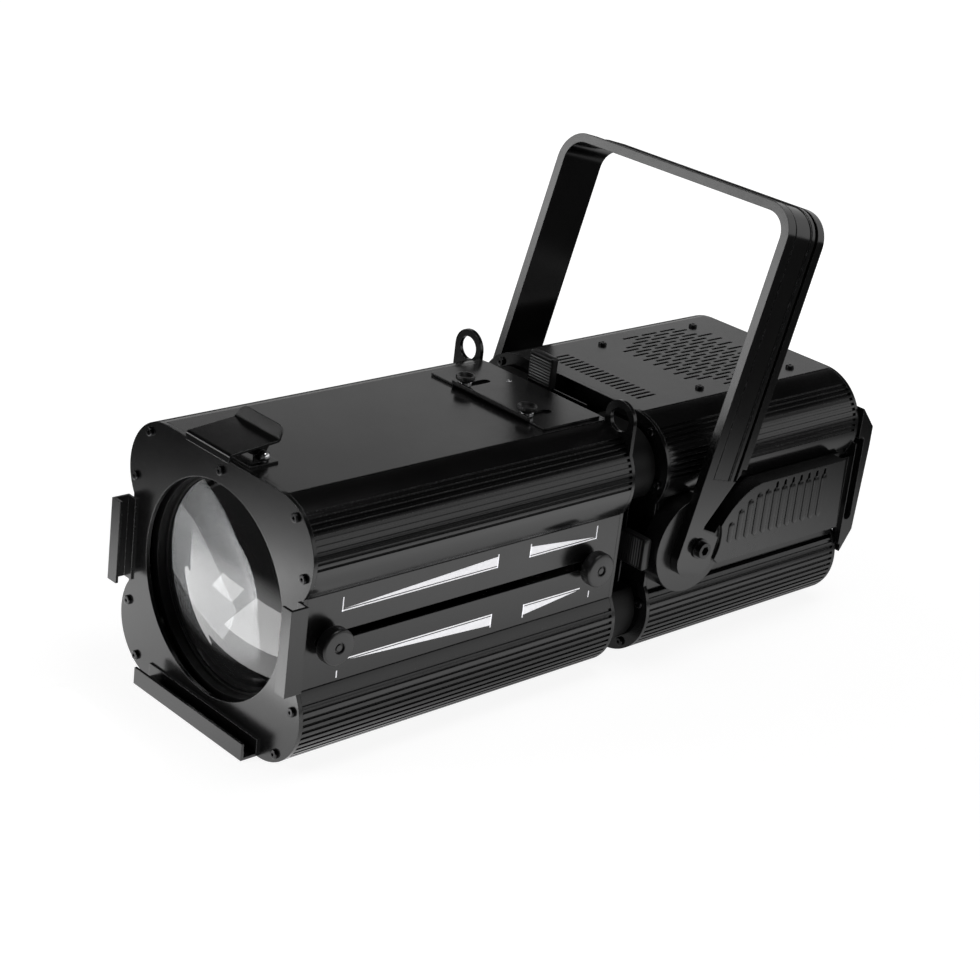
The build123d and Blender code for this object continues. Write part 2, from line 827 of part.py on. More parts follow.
# Side covers: pivot disc and a raised louvred shell behind it.
leaf_rear = 240.0
leaf_top = 37.2
leaf_low = -19.0
rib_spots = [115.9 + 9.17 * k for k in range(12)]
rib_low = -4.1
for where, sx in (("right", 1), ("left", -1)):
    with BuildPart() as side_cover:
        with BuildSketch(side(sx * (side_x + 0.2))):
            with BuildLine():
                ThreePointArc((101.5, 5.0), (120.6, 27.4), (143.6, leaf_top))
                Polyline(
                    (143.6, leaf_top),
                    (leaf_rear, leaf_top),
                    (leaf_rear + 3, leaf_low),
                    (106.0, leaf_low),
                    (94.0, -8.0),
                    (101.5, 5.0),
                )
            make_face()
        extrude(amount=sx * (leaf_face - side_x - 0.2))
        with BuildSketch(side(sx * (side_x + 0.2))):
            with BuildLine():
                Polyline(
                    (leaf_rear - 12, leaf_top),
                    (leaf_rear + 7, leaf_top),
                    (leaf_rear + 9, leaf_low),
                    (leaf_rear - 12, leaf_low),
                    close=True,
                )
            make_face()
        extrude(amount=sx * 6)
        with BuildSketch(side(sx * disc_face)):
            with Locations((pivot_y, pivot_z - axis_z)):
                Circle(29)
        extrude(amount=sx * 8, mode=Mode.SUBTRACT)
        with BuildSketch(side(sx * (side_x + 0.2))):
            with Locations((pivot_y, pivot_z - axis_z)):
                Circle(disc_r)
            with BuildLine():
                ThreePointArc((101.5, 5.0), (120.6, 27.4), (143.6, leaf_top))
                Polyline((143.6, leaf_top), (143.6, 70), (82.0, 70), (82.0, 13.5), (101.5, 5.0))
            make_face(mode=Mode.SUBTRACT)
        extrude(amount=sx * (disc_face - side_x - 0.2))
        with BuildSketch(side(sx * (side_x + 0.2))):
            with Locations((pivot_y, pivot_z - axis_z)):
                Circle(disc_r)
        extrude(amount=sx * 2)
        with BuildSketch(side(sx * (side_x + 0.2))):
            with Locations((191, 10)):
                RectangleRounded(84, 50, 4)
        extrude(amount=sx * (leaf_face - side_x - 3.2), mode=Mode.SUBTRACT)
        for y in rib_spots:
            rib_top = 30 - 0.0147 * max(0, 152 - y) ** 2
            with BuildSketch(side(sx * leaf_face)):
                with Locations((y, (rib_top + rib_low) / 2)):
                    SlotOverall(rib_top - rib_low, 3.6, rotation=90)
            extrude(amount=sx * 0.4)
        with BuildSketch(side(sx * (leaf_face + 1))):
            with Locations(*[(y, 32.4) for y in rib_spots[5:]]):
                SlotOverall(5.4, 2.8, rotation=86)
        extrude(amount=-sx * 8, mode=Mode.SUBTRACT)
        with BuildSketch(side(sx * (side_x - 1))):
            with Locations((pivot_y, pivot_z - axis_z)):
                Circle(pivot_r + 0.15)
        extrude(amount=sx * 30, mode=Mode.SUBTRACT)
    pieces[f"side_cover_{where}"] = side_cover

# Pivot bolts with washer faces and socket heads.
with BuildPart() as pivot_bolts:
    for sx in (1, -1):
        for start, length, radius in (
            (side_x - 2, yoke_out + gap - side_x + 2, pivot_r),
            (yoke_out + gap, 1.2, 7.5),
            (yoke_out + gap + 1.2, 4.4, 6.0),
        ):
            with BuildSketch(side(sx * start)):
                with Locations((pivot_y, pivot_z - axis_z)):
                    Circle(radius)
            extrude(amount=sx * length)
        with BuildSketch(side(sx * (yoke_out + gap + 5.6))):
            with Locations((pivot_y, pivot_z - axis_z)):
                RegularPolygon(3.6, 6)
        extrude(amount=-sx * 3.4, mode=Mode.SUBTRACT)
pieces["pivot_bolts"] = pivot_bolts

# Light engine: tunnel, condenser, emitter board, heat sink, fan.
with BuildPart() as condenser:
    with BuildSketch(level(0)):
        with BuildLine():
            ThreePointArc((0, 80), (22, 85.2), (39.6, 98))
            Polyline((39.6, 98), (39.6, 103), (0, 103), (0, 80))
        make_face()
    revolve(axis=Axis((0, 0, axis_z), (0, 1, 0)))
pieces["condenser_lens"] = condenser
with BuildPart() as emitter_board:
    with BuildSketch(across(124)):
        Circle(48)
    extrude(amount=-2)
    with BuildSketch(across(122)):
        RectangleRounded(26, 26, 3)
    extrude(amount=-2)
pieces["emitter_board"] = emitter_board
fin_count = 17
with BuildPart() as heat_sink:
    with BuildSketch(across(126)):
        Rectangle(116, 110)
    extrude(amount=-8)
    with BuildSketch(across(134)):
        with GridLocations(7, 0, fin_count, 1):
            Rectangle(2.2, 110)
    extrude(amount=-97)
pieces["heat_sink"] = heat_sink

fan_low = 62.0
fan_high = 22.0
with BuildPart() as fan_frame:
    with BuildSketch(level(fan_low)):
        with Locations(fan_spot):
            RectangleRounded(98, 104, 6)
            Circle(47, mode=Mode.SUBTRACT)
    extrude(amount=fan_high)
    with BuildSketch(level(fan_low)):
        with Locations(fan_spot):
            Circle(15)
            Rectangle(98, 5)
            Rectangle(5, 98)
    extrude(amount=3)
    with BuildSketch(level(fan_low)):
        with Locations(fan_spot):
            Circle(2.5)
    extrude(amount=8)
pieces["fan_frame"] = fan_frame
fan_hub_r = 17.0
fan_blades = 7
with BuildPart() as fan_rotor:
    with BuildSketch(level(fan_low + 4)):
        with Locations(fan_spot):
            Circle(fan_hub_r)
            Circle(2.55, mode=Mode.SUBTRACT)
    extrude(amount=6)
    with BuildSketch(level(fan_low + 10)):
        with Locations(fan_spot):
            Circle(fan_hub_r)
    extrude(amount=9)
    for k in range(fan_blades):
        turn = radians(k * 360 / fan_blades)
        out = Vector(cos(turn), sin(turn), 0)
        middle = Vector(fan_spot[0], fan_spot[1], axis_z + fan_low + 12)
        root = Plane(
            origin=middle + out * (fan_hub_r - 2),
            x_dir=(-sin(turn), cos(turn), 0),
            z_dir=out,
        )
        with BuildSketch(root):
            Rectangle(20, 1.6, rotation=32)
        extrude(amount=30)
pieces["fan_rotor"] = fan_rotor

lamp_seats = corner_screw_seats(lamp_front, (0, -1, 0)) + corner_screw_seats(lamp_back, (0, 1, 0))
lamp_seats += [facing(x, y, axis_z + half_h, (0, 0, 1)) for x, y in top_seats]
with BuildPart() as lamp_screws:
    with Locations(*lamp_seats):
        add(screw.part)
pieces["lamp_screws"] = lamp_screws

# === yoke =====================================================================================
# Its frame sits on the pivot axis: u runs up the arm, v across it towards the rear.
lean = radians(yoke_tilt)
v_dir = (0, cos(lean), -sin(lean))
yoke_front = Plane(origin=(0, pivot_y, pivot_z), x_dir=(1, 0, 0), z_dir=(0, -cos(lean), sin(lean)))
arm_side = Plane(origin=(0, pivot_y, pivot_z), x_dir=v_dir, z_dir=(1, 0, 0))
arm_end = 22.0           # arms reach this far below the pivot
inner_x = yoke_out - yoke_thick
grooves = ((-10.2, 0.9, 0.8), (8.8, 0.9, 0.8), (14.4, 3.6, 2.6), (-0.8, 17.0, 0.5))
clamp_hole_r = 6.5
with BuildPart() as yoke:
    with BuildSketch(yoke_front.offset(yoke_fore)):
        with Locations((0, (yoke_high - 40) / 2)):
            RectangleRounded(2 * yoke_out, yoke_high + 40, yoke_corner)
        with Locations((0, (yoke_high - 40) / 2 - 20)):
            high = yoke_high + 80 - 2 * yoke_thick
            RectangleRounded(2 * inner_x, high, yoke_corner - yoke_thick, mode=Mode.SUBTRACT)
    extrude(amount=-(yoke_fore + yoke_aft))
    for centre, width, depth in grooves:
        with BuildSketch(yoke_front.offset(-centre + width / 2)):
            with Locations((0, (yoke_high - 40) / 2)):
                RectangleRounded(2 * yoke_out + 4, yoke_high + 44, yoke_corner + 2)
                wide = 2 * (yoke_out - depth)
                high = yoke_high + 40 - 2 * depth
                RectangleRounded(wide, high, yoke_corner - depth, mode=Mode.SUBTRACT)
            with Locations((0, -20)):
                Rectangle(400, 144, mode=Mode.SUBTRACT)
        extrude(amount=-width, mode=Mode.SUBTRACT)
    with BuildSketch(arm_side.offset(-150)):
        with BuildLine():
            Polyline((-40, -60), (40, -60), (40, -arm_end), (-40, -arm_end), close=True)
        make_face()
        with BuildLine():
            Polyline(
                (17.2, -60),
                (17.2, 9.5),
                (9.0, 11.6),
                (-2.4, 14.2),
                (-2.4, 16.8),
                (19.0, 58.0),
                (19.0, 62.0),
                (40, 62),
                (40, -60),
                close=True,
            )
        make_face()
    extrude(amount=300, mode=Mode.SUBTRACT)
    fillet(
        yoke.edges().filter_by(Axis.X).filter_by(
            lambda e: (e.center() - Vector(e.center().X, pivot_y, pivot_z)).length < 30
            and e.center().Z < pivot_z - 14
        ),
        13.0,
    )
    with BuildSketch(arm_side.offset(-150)):
        Circle(pivot_hole_r)
    extrude(amount=300, mode=Mode.SUBTRACT)
    crossbar = Plane(
        origin=(0, pivot_y + yoke_high * sin(lean), pivot_z + yoke_high * cos(lean)),
        x_dir=(1, 0, 0),
        z_dir=(0, sin(lean), cos(lean)),
    )
    with BuildSketch(crossbar.offset(2)):
        with Locations((0, 1.2)):
            Circle(clamp_hole_r)
    extrude(amount=-20, mode=Mode.SUBTRACT)
pieces["yoke"] = yoke

os.makedirs("parts", exist_ok=True)
for name, body in pieces.items():
    body.part.label = name
    export_step(body.part, f"parts/{name}.step")
print(len(pieces), "pieces")
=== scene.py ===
"""Zoom profile spotlight: finishes, fine pieces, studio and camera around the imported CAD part.

Lengths are in metres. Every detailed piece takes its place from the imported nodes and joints.
"""

import json
from math import cos, pi, radians, sin, sqrt

import bmesh
import bpy
from mathutils import Matrix, Vector


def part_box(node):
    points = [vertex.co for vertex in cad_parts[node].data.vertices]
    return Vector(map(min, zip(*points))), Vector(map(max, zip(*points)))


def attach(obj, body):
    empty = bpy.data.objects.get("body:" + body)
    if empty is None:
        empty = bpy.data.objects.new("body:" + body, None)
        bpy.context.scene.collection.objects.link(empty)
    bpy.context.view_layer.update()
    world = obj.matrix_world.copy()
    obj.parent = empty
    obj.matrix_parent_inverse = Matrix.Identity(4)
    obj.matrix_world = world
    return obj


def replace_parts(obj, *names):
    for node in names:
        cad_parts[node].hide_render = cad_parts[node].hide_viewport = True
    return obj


MM = 0.001
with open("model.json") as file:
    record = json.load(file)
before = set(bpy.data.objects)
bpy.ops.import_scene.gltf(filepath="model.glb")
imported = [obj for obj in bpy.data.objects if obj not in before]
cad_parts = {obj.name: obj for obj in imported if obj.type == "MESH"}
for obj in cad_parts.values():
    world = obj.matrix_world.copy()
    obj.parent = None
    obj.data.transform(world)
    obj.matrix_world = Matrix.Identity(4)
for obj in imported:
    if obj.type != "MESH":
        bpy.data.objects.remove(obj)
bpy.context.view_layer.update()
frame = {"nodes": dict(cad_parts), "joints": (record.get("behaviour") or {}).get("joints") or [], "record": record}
nodes = frame["nodes"]
joints = {j["name"]: j for j in frame["joints"]}


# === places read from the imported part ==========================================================
def low(name):
    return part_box(name)[0]


def high(name):
    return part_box(name)[1]


def middle(name):
    a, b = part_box(name)
    return (a + b) / 2


axis_z = joints["barrel_turn"]["pos_m"][2]
panel_x = high("barrel_side_right").x
cover_top = high("barrel_top_cover").z


# === small mesh kit ============================================================================
def new_object(name, mesh, material, body):
    """Link a mesh as a named piece that rides on a CAD body."""
    made = bpy.data.objects.new(name, mesh)
    bpy.context.scene.collection.objects.link(made)
    made.data.materials.append(material)
    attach(made, body)
    return made


def mesh_from(bm, name, smooth_angle=32):
    """Finish a bmesh: outward normals, smooth shading with sharp edges kept."""
    bmesh.ops.remove_doubles(bm, verts=bm.verts, dist=1e-7)
    bmesh.ops.recalc_face_normals(bm, faces=bm.faces)
    for face in bm.faces:
        face.smooth = True
    for edge in bm.edges:
        if len(edge.link_faces) == 2:
            edge.smooth = edge.calc_face_angle(0) < radians(smooth_angle)
    mesh = bpy.data.meshes.new(name)
    bm.to_mesh(mesh)
    bm.free()
    return mesh


def lathe(bm, outline, centre, axis, steps=72, wave=None):
    """Closed solid of revolution.

    outline is (radius, distance along the axis); wave(turn, k) scales the radius of point k.
    """
    axis = Vector(axis).normalized()
    across = axis.orthogonal().normalized()
    other = axis.cross(across)
    rings = []
    for k, (radius, along) in enumerate(outline):
        spot = Vector(centre) + axis * along
        if radius < 1e-9:
            rings.append([bm.verts.new(spot)])
            continue
        ring = []
        for step in range(steps):
            turn = 2 * pi * step / steps
            size = radius * (wave(turn, k) if wave else 1)
            ring.append(bm.verts.new(spot + (across * cos(turn) + other * sin(turn)) * size))
        rings.append(ring)
    for one, two in zip(rings, rings[1:]):
        for step in range(steps):
            after = (step + 1) % steps
            if len(one) == 1:
                bm.faces.new((one[0], two[step], two[after]))
            elif len(two) == 1:
                bm.faces.new((one[step], one[after], two[0]))
            else:
                bm.faces.new((one[step], one[after], two[after], two[step]))


def close_rings(bm, rings):
    """Skin a row of equal vertex rings and cap both ends."""
    for one, two in zip(rings, rings[1:]):
        for k in range(len(one)):
            after = (k + 1) % len(one)
            bm.faces.new((one[k], one[after], two[after], two[k]))
    bm.faces.new(rings[0][::-1])
    bm.faces.new(rings[-1])


def prism(bm, outline, place, depth):
    """Extruded solid. outline is a list of (u, v); place maps (u, v, w) to a point; depth is (w0, w1)."""
    close_rings(bm, [[bm.verts.new(place(u, v, w)) for u, v in outline] for w in depth])


def piece(bm, name, slot, body, smooth_angle=32, material=None):
    """Finish a bmesh as a named piece with a finish from the table, or with a material of its own."""
    made = new_object(name, mesh_from(bm, name, smooth_angle), material or finish[slot], body)
    return made


# === materials =================================================================================
COOL = (1.0, 1.0, 1.03)  # slight blue of black paint and plastic


def put(tree, kind, inputs=None, **settings):
    """Add one shader node; an input is a value or another node's output."""
    made = tree.nodes.new(kind)
    for key, value in settings.items():
        setattr(made, key, value)
    for key, value in (inputs or {}).items():
        if isinstance(value, bpy.types.NodeSocket):
            tree.links.new(value, made.inputs[key])
        else:
            made.inputs[key].default_value = value
    return made


def noise(tree, where, scale, detail=3.0, rough=0.55, stretch=(1, 1, 1)):
    """Object-space noise in cycles per metre."""
    mapped = put(tree, "ShaderNodeMapping", {"Vector": where, "Scale": stretch})
    made = put(
        tree,
        "ShaderNodeTexNoise",
        {"Vector": mapped.outputs["Vector"], "Scale": scale, "Detail": detail, "Roughness": rough},
    )
    return made.outputs["Fac"]


def span(tree, value, low_in, high_in, low_out, high_out):
    """Map a range of values onto another, clamped."""
    made = put(
        tree,
        "ShaderNodeMapRange",
        {"Value": value, "From Min": low_in, "From Max": high_in, "To Min": low_out, "To Max": high_out},
    )
    return made.outputs["Result"]


def calculate(tree, one, two, operation="ADD"):
    return put(tree, "ShaderNodeMath", {0: one, 1: two}, operation=operation).outputs[0]


def blend_colour(tree, share, one, two):
    """Mix two colours; share, one and two are values or sockets."""
    made = put(tree, "ShaderNodeMix", data_type="RGBA")
    for socket, value in ((made.inputs["Factor"], share), (made.inputs[6], one), (made.inputs[7], two)):
        if isinstance(value, bpy.types.NodeSocket):
            tree.links.new(value, socket)
        else:
            socket.default_value = value
    return made.outputs[2]


def grey(value, tint=COOL):
    """Tinted grey."""
    return (value * tint[0], value * tint[1], value * tint[2], 1.0)


def start_material(name):
    """New node material: the material, its tree, object coordinates, shader and output."""
    material = bpy.data.materials.new(name)
    material.use_nodes = True
    tree = material.node_tree
    tree.nodes.clear()
    where = put(tree, "ShaderNodeTexCoord").outputs["Object"]
    shader = put(tree, "ShaderNodeBsdfPrincipled")
    out = put(tree, "ShaderNodeOutputMaterial", {"Surface": shader.outputs["BSDF"]})
    return material, tree, where, shader, out


def wire(tree, shader, **inputs):
    """Set or link the shader's sockets by name, with _ for a space."""
    for key, value in inputs.items():
        socket = shader.inputs[key.replace("_", " ")]
        if isinstance(value, bpy.types.NodeSocket):
            tree.links.new(value, socket)
        else:
            socket.default_value = value


def edge_wear(tree, width):
    """0 on flats, 1 along outward and inward edges, from the rounded-edge normal."""
    soft = put(tree, "ShaderNodeBevel", {"Radius": width}, samples=4)
    flat = put(tree, "ShaderNodeNewGeometry").outputs["Normal"]
    dot = put(tree, "ShaderNodeVectorMath", {0: soft.outputs["Normal"], 1: flat}, operation="DOT_PRODUCT")
    return span(tree, dot.outputs["Value"], 0.995, 0.86, 0.0, 1.0)


def skin_normal(tree, height, strength, distance, edge):
    """Bump from a height on top of softly rounded edges."""
    round_edge = put(tree, "ShaderNodeBevel", {"Radius": edge}, samples=4)
    inputs = {"Strength": strength, "Distance": distance, "Height": height}
    bump = put(tree, "ShaderNodeBump", inputs | {"Normal": round_edge.outputs["Normal"]})
    return bump.outputs["Normal"]


def coat(name, tone, rough, peel=0.06, grain=1400, wear=0.35, streak=(1, 1, 1), edge=0.0005, shine=0.5):
    """Sprayed, moulded or anodised black finish: fine skin, patchy gloss, dust and rubbed edges.

    tone and rough are the middle colour and gloss, peel and grain the height and fineness of the skin,
    wear how far edges are rubbed, streak the stretch of drag marks, edge the rounding.
    """
    material, tree, where, shader, _ = start_material(name)
    patches = noise(tree, where, 9, 4, 0.6)
    fine = noise(tree, where, grain, 2, 0.5)
    drag = noise(tree, where, 160, 4, 0.65, streak)
    chips = span(tree, noise(tree, where, 420, 3, 0.7), 0.50, 0.66, 0.15, 1.0)
    worn = calculate(tree, edge_wear(tree, edge), chips, "MULTIPLY")
    worn = calculate(tree, worn, wear, "MULTIPLY")
    patch = span(tree, patches, 0.3, 0.7, 0, 1)
    base = blend_colour(tree, patch, grey(tone * 0.82), grey(tone * 1.18))
    speck = span(tree, noise(tree, where, 650, 1, 0.4), 0.70, 0.76, 0.0, 0.35)
    base = blend_colour(tree, speck, base, grey(tone * 2.6))
    base = blend_colour(tree, worn, base, grey(0.16))
    gloss = span(tree, patches, 0.25, 0.75, rough - 0.045, rough + 0.045)
    gloss = calculate(tree, gloss, span(tree, drag, 0.3, 0.7, -0.015, 0.015))
    normal = skin_normal(tree, fine, peel, 0.0002, edge)
    wire(tree, shader, Base_Color=base, Roughness=gloss, Normal=normal, Specular_IOR_Level=shine)
    return material


def metal(name, tone, rough, streak=(1, 1, 1), line=0.12, tint=(1, 1, 1.02), edge=0.0003):
    """Bare or plated metal with fine drawn or turned lines and dulled patches."""
    material, tree, where, shader, _ = start_material(name)
    lines = noise(tree, where, 700, 3, 0.6, streak)
    dull = noise(tree, where, 40, 4, 0.6)
    base = blend_colour(tree, span(tree, dull, 0.35, 0.7, 0, 1), grey(tone, tint), grey(tone * 0.8, tint))
    gloss = span(tree, dull, 0.3, 0.7, rough - 0.06, rough + 0.09)
    normal = skin_normal(tree, lines, line, 0.0001, edge)
    wire(tree, shader, Base_Color=base, Roughness=gloss, Metallic=1.0, Normal=normal)
    return material


def lens_glass(name):
    """Clear coated glass with faint dust and wipe marks."""
    material, tree, where, shader, out = start_material(name)
    wipes = noise(tree, where, 60, 5, 0.65, (1, 1, 5))
    dust = span(tree, noise(tree, where, 900, 2, 0.5), 0.66, 0.78, 0.004, 0.03)
    wire(
        tree,
        shader,
        Base_Color=(0.97, 0.985, 1.0, 1),
        Roughness=span(tree, wipes, 0.35, 0.75, 0.0, 0.035),
        IOR=1.6,
        Transmission_Weight=1.0,
        Specular_IOR_Level=1.0,
        Coat_Weight=0.5,
        Coat_IOR=1.5,
        Coat_Roughness=0.02,
    )
    film = put(tree, "ShaderNodeBsdfDiffuse", {"Color": grey(0.6)})
    mixed = put(tree, "ShaderNodeMixShader", {0: dust, 1: shader.outputs["BSDF"], 2: film.outputs["BSDF"]})
    tree.links.new(mixed.outputs[0], out.inputs["Surface"])
    return material


PRINT_PAINTED_GLOW = 0.45  # painted glow: the thin print is given light of its own so it stays clean white in the soft light


def printed(name):
    """Screen-printed white ink, slightly uneven, with a painted glow that keeps it white."""
    material, tree, where, shader, _ = start_material(name)
    thin = noise(tree, where, 500, 4, 0.6)
    base = blend_colour(tree, span(tree, thin, 0.35, 0.7, 0, 1), grey(0.86), grey(0.74))
    gloss = span(tree, thin, 0.3, 0.7, 0.42, 0.6)
    skin = put(tree, "ShaderNodeBump", {"Strength": 0.08, "Distance": 0.0001, "Height": thin})
    wire(tree, shader, Base_Color=base, Roughness=gloss, Normal=skin.outputs["Normal"])
    # painted glow: the ink emits light of its own, though it is no lamp
    wire(tree, shader, Emission_Color=base, Emission_Strength=PRINT_PAINTED_GLOW)
    return material


def phosphor(name):
    """Yellow phosphor window of the emitter with a grid of dies beneath."""
    material, tree, where, shader, _ = start_material(name)
    dies = put(tree, "ShaderNodeTexVoronoi", {"Vector": where, "Scale": 420.0}).outputs["Distance"]
    spots = noise(tree, where, 300, 2, 0.5)
    grid = span(tree, dies, 0.1, 0.6, 0, 1)
    base = blend_colour(tree, grid, (0.88, 0.62, 0.08, 1), (0.74, 0.48, 0.05, 1))
    skin = put(tree, "ShaderNodeBump", {"Strength": 0.2, "Distance": 0.0003, "Height": spots})
    gloss = span(tree, spots, 0.3, 0.7, 0.22, 0.4)
    wire(tree, shader, Base_Color=base, Roughness=gloss, Normal=skin.outputs["Normal"])
    return material


def pane(name):
    """Dark smoked window."""
    material, tree, where, shader, _ = start_material(name)
    smear = noise(tree, where, 90, 4, 0.6)
    base = blend_colour(tree, smear, (0.006, 0.010, 0.014, 1), (0.012, 0.018, 0.024, 1))
    wire(tree, shader, Base_Color=base, Roughness=span(tree, smear, 0.3, 0.7, 0.05, 0.14), Coat_Weight=0.6)
    return material


def lit(name, colour, power):
    """Glowing segment of the display."""
    material, tree, where, shader, _ = start_material(name)
    uneven = span(tree, noise(tree, where, 800, 2, 0.5), 0.3, 0.7, 0.75, 1.0)
    base = blend_colour(tree, uneven, (0, 0, 0, 1), colour)
    wire(tree, shader, Base_Color=base, Emission_Color=base, Emission_Strength=power, Roughness=0.4)
    return material


TURNED = (1, 0.05, 1)  # noise stretched along the lamp's axis, as drawn or ground stock

finish = {
    "housing_paint": coat("powder_coat", 0.005, 0.20, grain=1500, wear=0.5, edge=0.0007),
    "rail_paint": coat("coated_extrusion", 0.005, 0.18, peel=0.03, grain=1300, streak=(1, 0.03, 1)),
    "yoke_paint": coat("yoke_coat", 0.004, 0.18, peel=0.03, grain=1200, wear=0.6, edge=0.0007),
    "cover_plastic": coat("moulded_cover", 0.006, 0.25, peel=0.07, grain=1100, wear=0.15, edge=0.0009),
    "knob_plastic": coat("knob_plastic", 0.009, 0.30, peel=0.07, grain=1500, wear=0.25, edge=0.0004),
    "grip_plastic": coat("grip_plastic", 0.009, 0.38, peel=0.10, grain=1300, wear=0.3, edge=0.0004),
    "carriage_black": coat(
        "black_anodised", 0.003, 0.42, peel=0.05, grain=1600, wear=0.1, streak=(1, 0.1, 1), shine=0.25
    ),
    "gate_black": coat("gate_black", 0.002, 0.5, peel=0.08, grain=1200, wear=0.2, shine=0.2),
    "fan_plastic": coat("fan_plastic", 0.016, 0.40, peel=0.08, grain=1200, wear=0.1),
    "socket_plastic": coat("socket_plastic", 0.022, 0.32, peel=0.05, grain=1300, wear=0.1),
    "button_plastic": coat("button_plastic", 0.10, 0.46, peel=0.08, grain=1500, wear=0.2),
    "screw_black": metal("black_oxide", 0.045, 0.24),
    "bright_steel": metal("bright_steel", 0.78, 0.16),
    "rod_steel": metal("ground_rod", 0.62, 0.2, streak=TURNED),
    "bare_aluminium": metal("bare_aluminium", 0.66, 0.36, streak=TURNED, line=0.3),
    "lens_glass": lens_glass("coated_glass"),
    "emitter_face": phosphor("phosphor"),
    "display_window": pane("smoked_window"),
}
ink = printed("white_ink")
brass = metal("contact_brass", 0.75, 0.22, tint=(1.0, 0.72, 0.32))

for part in frame["record"]["subparts"]:
    node = nodes[part["node"]]
    node.data.materials.clear()
    node.data.materials.append(finish[part["material_slot"]])


# === zoom scale printed on the right side panel ===============================================
# (front y, rear y, base line z, wedge height, whether the thick end is at the rear,
# 1 above and -1 below the slot), in mm
WEDGES = (
    (-235.5, -101.5, 110.5, 6.6, True, 1),
    (-72.5, -8.0, 111.5, 6.2, False, 1),
    (-227.0, -101.5, 76.0, 6.6, True, -1),
    (-72.5, -18.0, 76.0, 6.2, False, -1),
)
LOW_TICKS = ((-235.5, 63.5, 68.5), (-8.9, 66.5, 71.5))  # (front y, low z, high z), in mm


def scale_marks():
    """Four printed wedges with their end ticks, two above and two below the knob slot."""
    bm = bmesh.new()
    ink_thick = 0.12 * MM
    line = 0.9 * MM
    tick = 10.0 * MM
    gap = 1.7 * MM
    inset = 2.4 * MM
    margin = 0.4 * MM

    def place(y, z, x):
        return Vector((x, y, z))

    def mark(corners):
        prism(bm, corners, place, (panel_x, panel_x + ink_thick))

    def bar(y0, y1, z0, z1):
        z0, z1 = sorted((z0, z1))
        mark([(y0, z0), (y1, z0), (y1, z1), (y0, z1)])

    for front, rear, base, wedge_high, thick_rear, up in WEDGES:
        front, rear, base = front * MM, rear * MM, base * MM
        bar(front, rear, base, base + up * line)
        foot = base + up * gap
        tip = foot + up * wedge_high * MM
        if thick_rear:
            mark([(front + inset, foot), (rear - margin, foot), (rear - margin, tip)])
        else:
            mark([(front + margin, foot), (rear - inset, foot), (front + margin, tip)])
        for y in (front, rear - line):
            if up > 0 or (y == front) != thick_rear:
                bar(y, y + line, base, base + up * tick)
    for y, z0, z1 in LOW_TICKS:
        bar(y * MM, y * MM + line, z0 * MM, z1 * MM)
    new_object("zoom_scale_print", mesh_from(bm, "zoom_scale"), ink, "barrel")


scale_marks()


# === zoom knobs ================================================================================
def knob(node_name, body, name):
    """Round lock knob: soft rim, fluted flank, dished face with a small raised centre, collar and stem."""
    centre = middle(node_name)
    outer = high(node_name).x
    inner = outer - 8.7 * MM
    radius = (high(node_name).y - low(node_name).y) / 2
    rim = 1.9 * MM
    rim_start = outer - 2.2 * MM
    dish = outer - 1.6 * MM
    start = Vector((0, centre.y, centre.z))
    outline = [(0, inner + 1.2 * MM), (0.72 * radius, inner + 1.2 * MM), (0.76 * radius, inner + 0.2 * MM)]
    outline += [(0.97 * radius, inner), (radius, inner + 0.8 * MM)]
    outline += [(radius, inner + 3 * MM), (radius, rim_start)]
    flank = {4, 5, 6}
    rim_steps = 6
    for step in range(1, rim_steps + 1):
        turn = pi / 2 * step / rim_steps
        outline.append((radius - rim * (1 - cos(turn)), rim_start + rim * sin(turn)))
    outline += [(0.62 * radius, outer - 0.15 * MM), (0.34 * radius, outer)]
    outline += [(0.30 * radius, outer - 0.3 * MM), (0.28 * radius, dish), (0, dish)]

    def flutes(turn, k):
        return 1 - 0.012 * (0.5 + 0.5 * cos(36 * turn)) if k in flank else 1

    bm = bmesh.new()
    lathe(bm, outline, start, (1, 0, 0), 144, flutes)
    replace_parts(piece(bm, name, "knob_plastic", body), node_name)

    bm = bmesh.new()
    stem_in = low(node_name).x
    stem_r, collar_r = 3.0 * MM, 7.0 * MM
    stem = [(0, stem_in), (stem_r - 0.3 * MM, stem_in), (stem_r, stem_in + 0.4 * MM)]
    stem += [(stem_r, panel_x + 0.2 * MM), (collar_r, panel_x + 0.8 * MM)]
    stem += [(collar_r, inner + 1.6 * MM), (0, inner + 1.6 * MM)]
    lathe(bm, stem, start, (1, 0, 0), 48)
    piece(bm, name + "_stem", "screw_black", body)

    bm = bmesh.new()
    cap = [(0, dish), (2.5 * MM, dish), (2.5 * MM, outer - 0.9 * MM)]
    cap += [(2.2 * MM, outer - 0.65 * MM), (0, outer - 0.5 * MM)]
    lathe(bm, cap, start, (1, 0, 0), 40)
    piece(bm, name + "_cap", "knob_plastic", body)


knob("front_knob", "front_knob", "front_lock_knob")
knob("rear_knob", "rear_knob", "rear_lock_knob")


# === thumb screws of the access plate =========================================================
THUMB_HEAD_R = 7.0 * MM
THUMB_HEAD_HIGH = 4.5 * MM


def thread(bm, centre, radius, start, end, pitch, depth, steps=28):
    """Closed threaded rod along Z: a single-start helix on a solid core."""
    rows_per_turn = 8
    rows = int((end - start) / pitch * rows_per_turn)
    rings = []
    for row in range(rows + 1):
        z = start + (end - start) * row / rows
        ring = []
        for step in range(steps):
            turn = 2 * pi * step / steps
            phase = ((z - start) / pitch - turn / (2 * pi)) % 1
            size = radius - depth * (1 - abs(2 * phase - 1))
            ring.append(bm.verts.new(Vector((centre.x + size * cos(turn), centre.y + size * sin(turn), z))))
        rings.append(ring)
    close_rings(bm, rings)


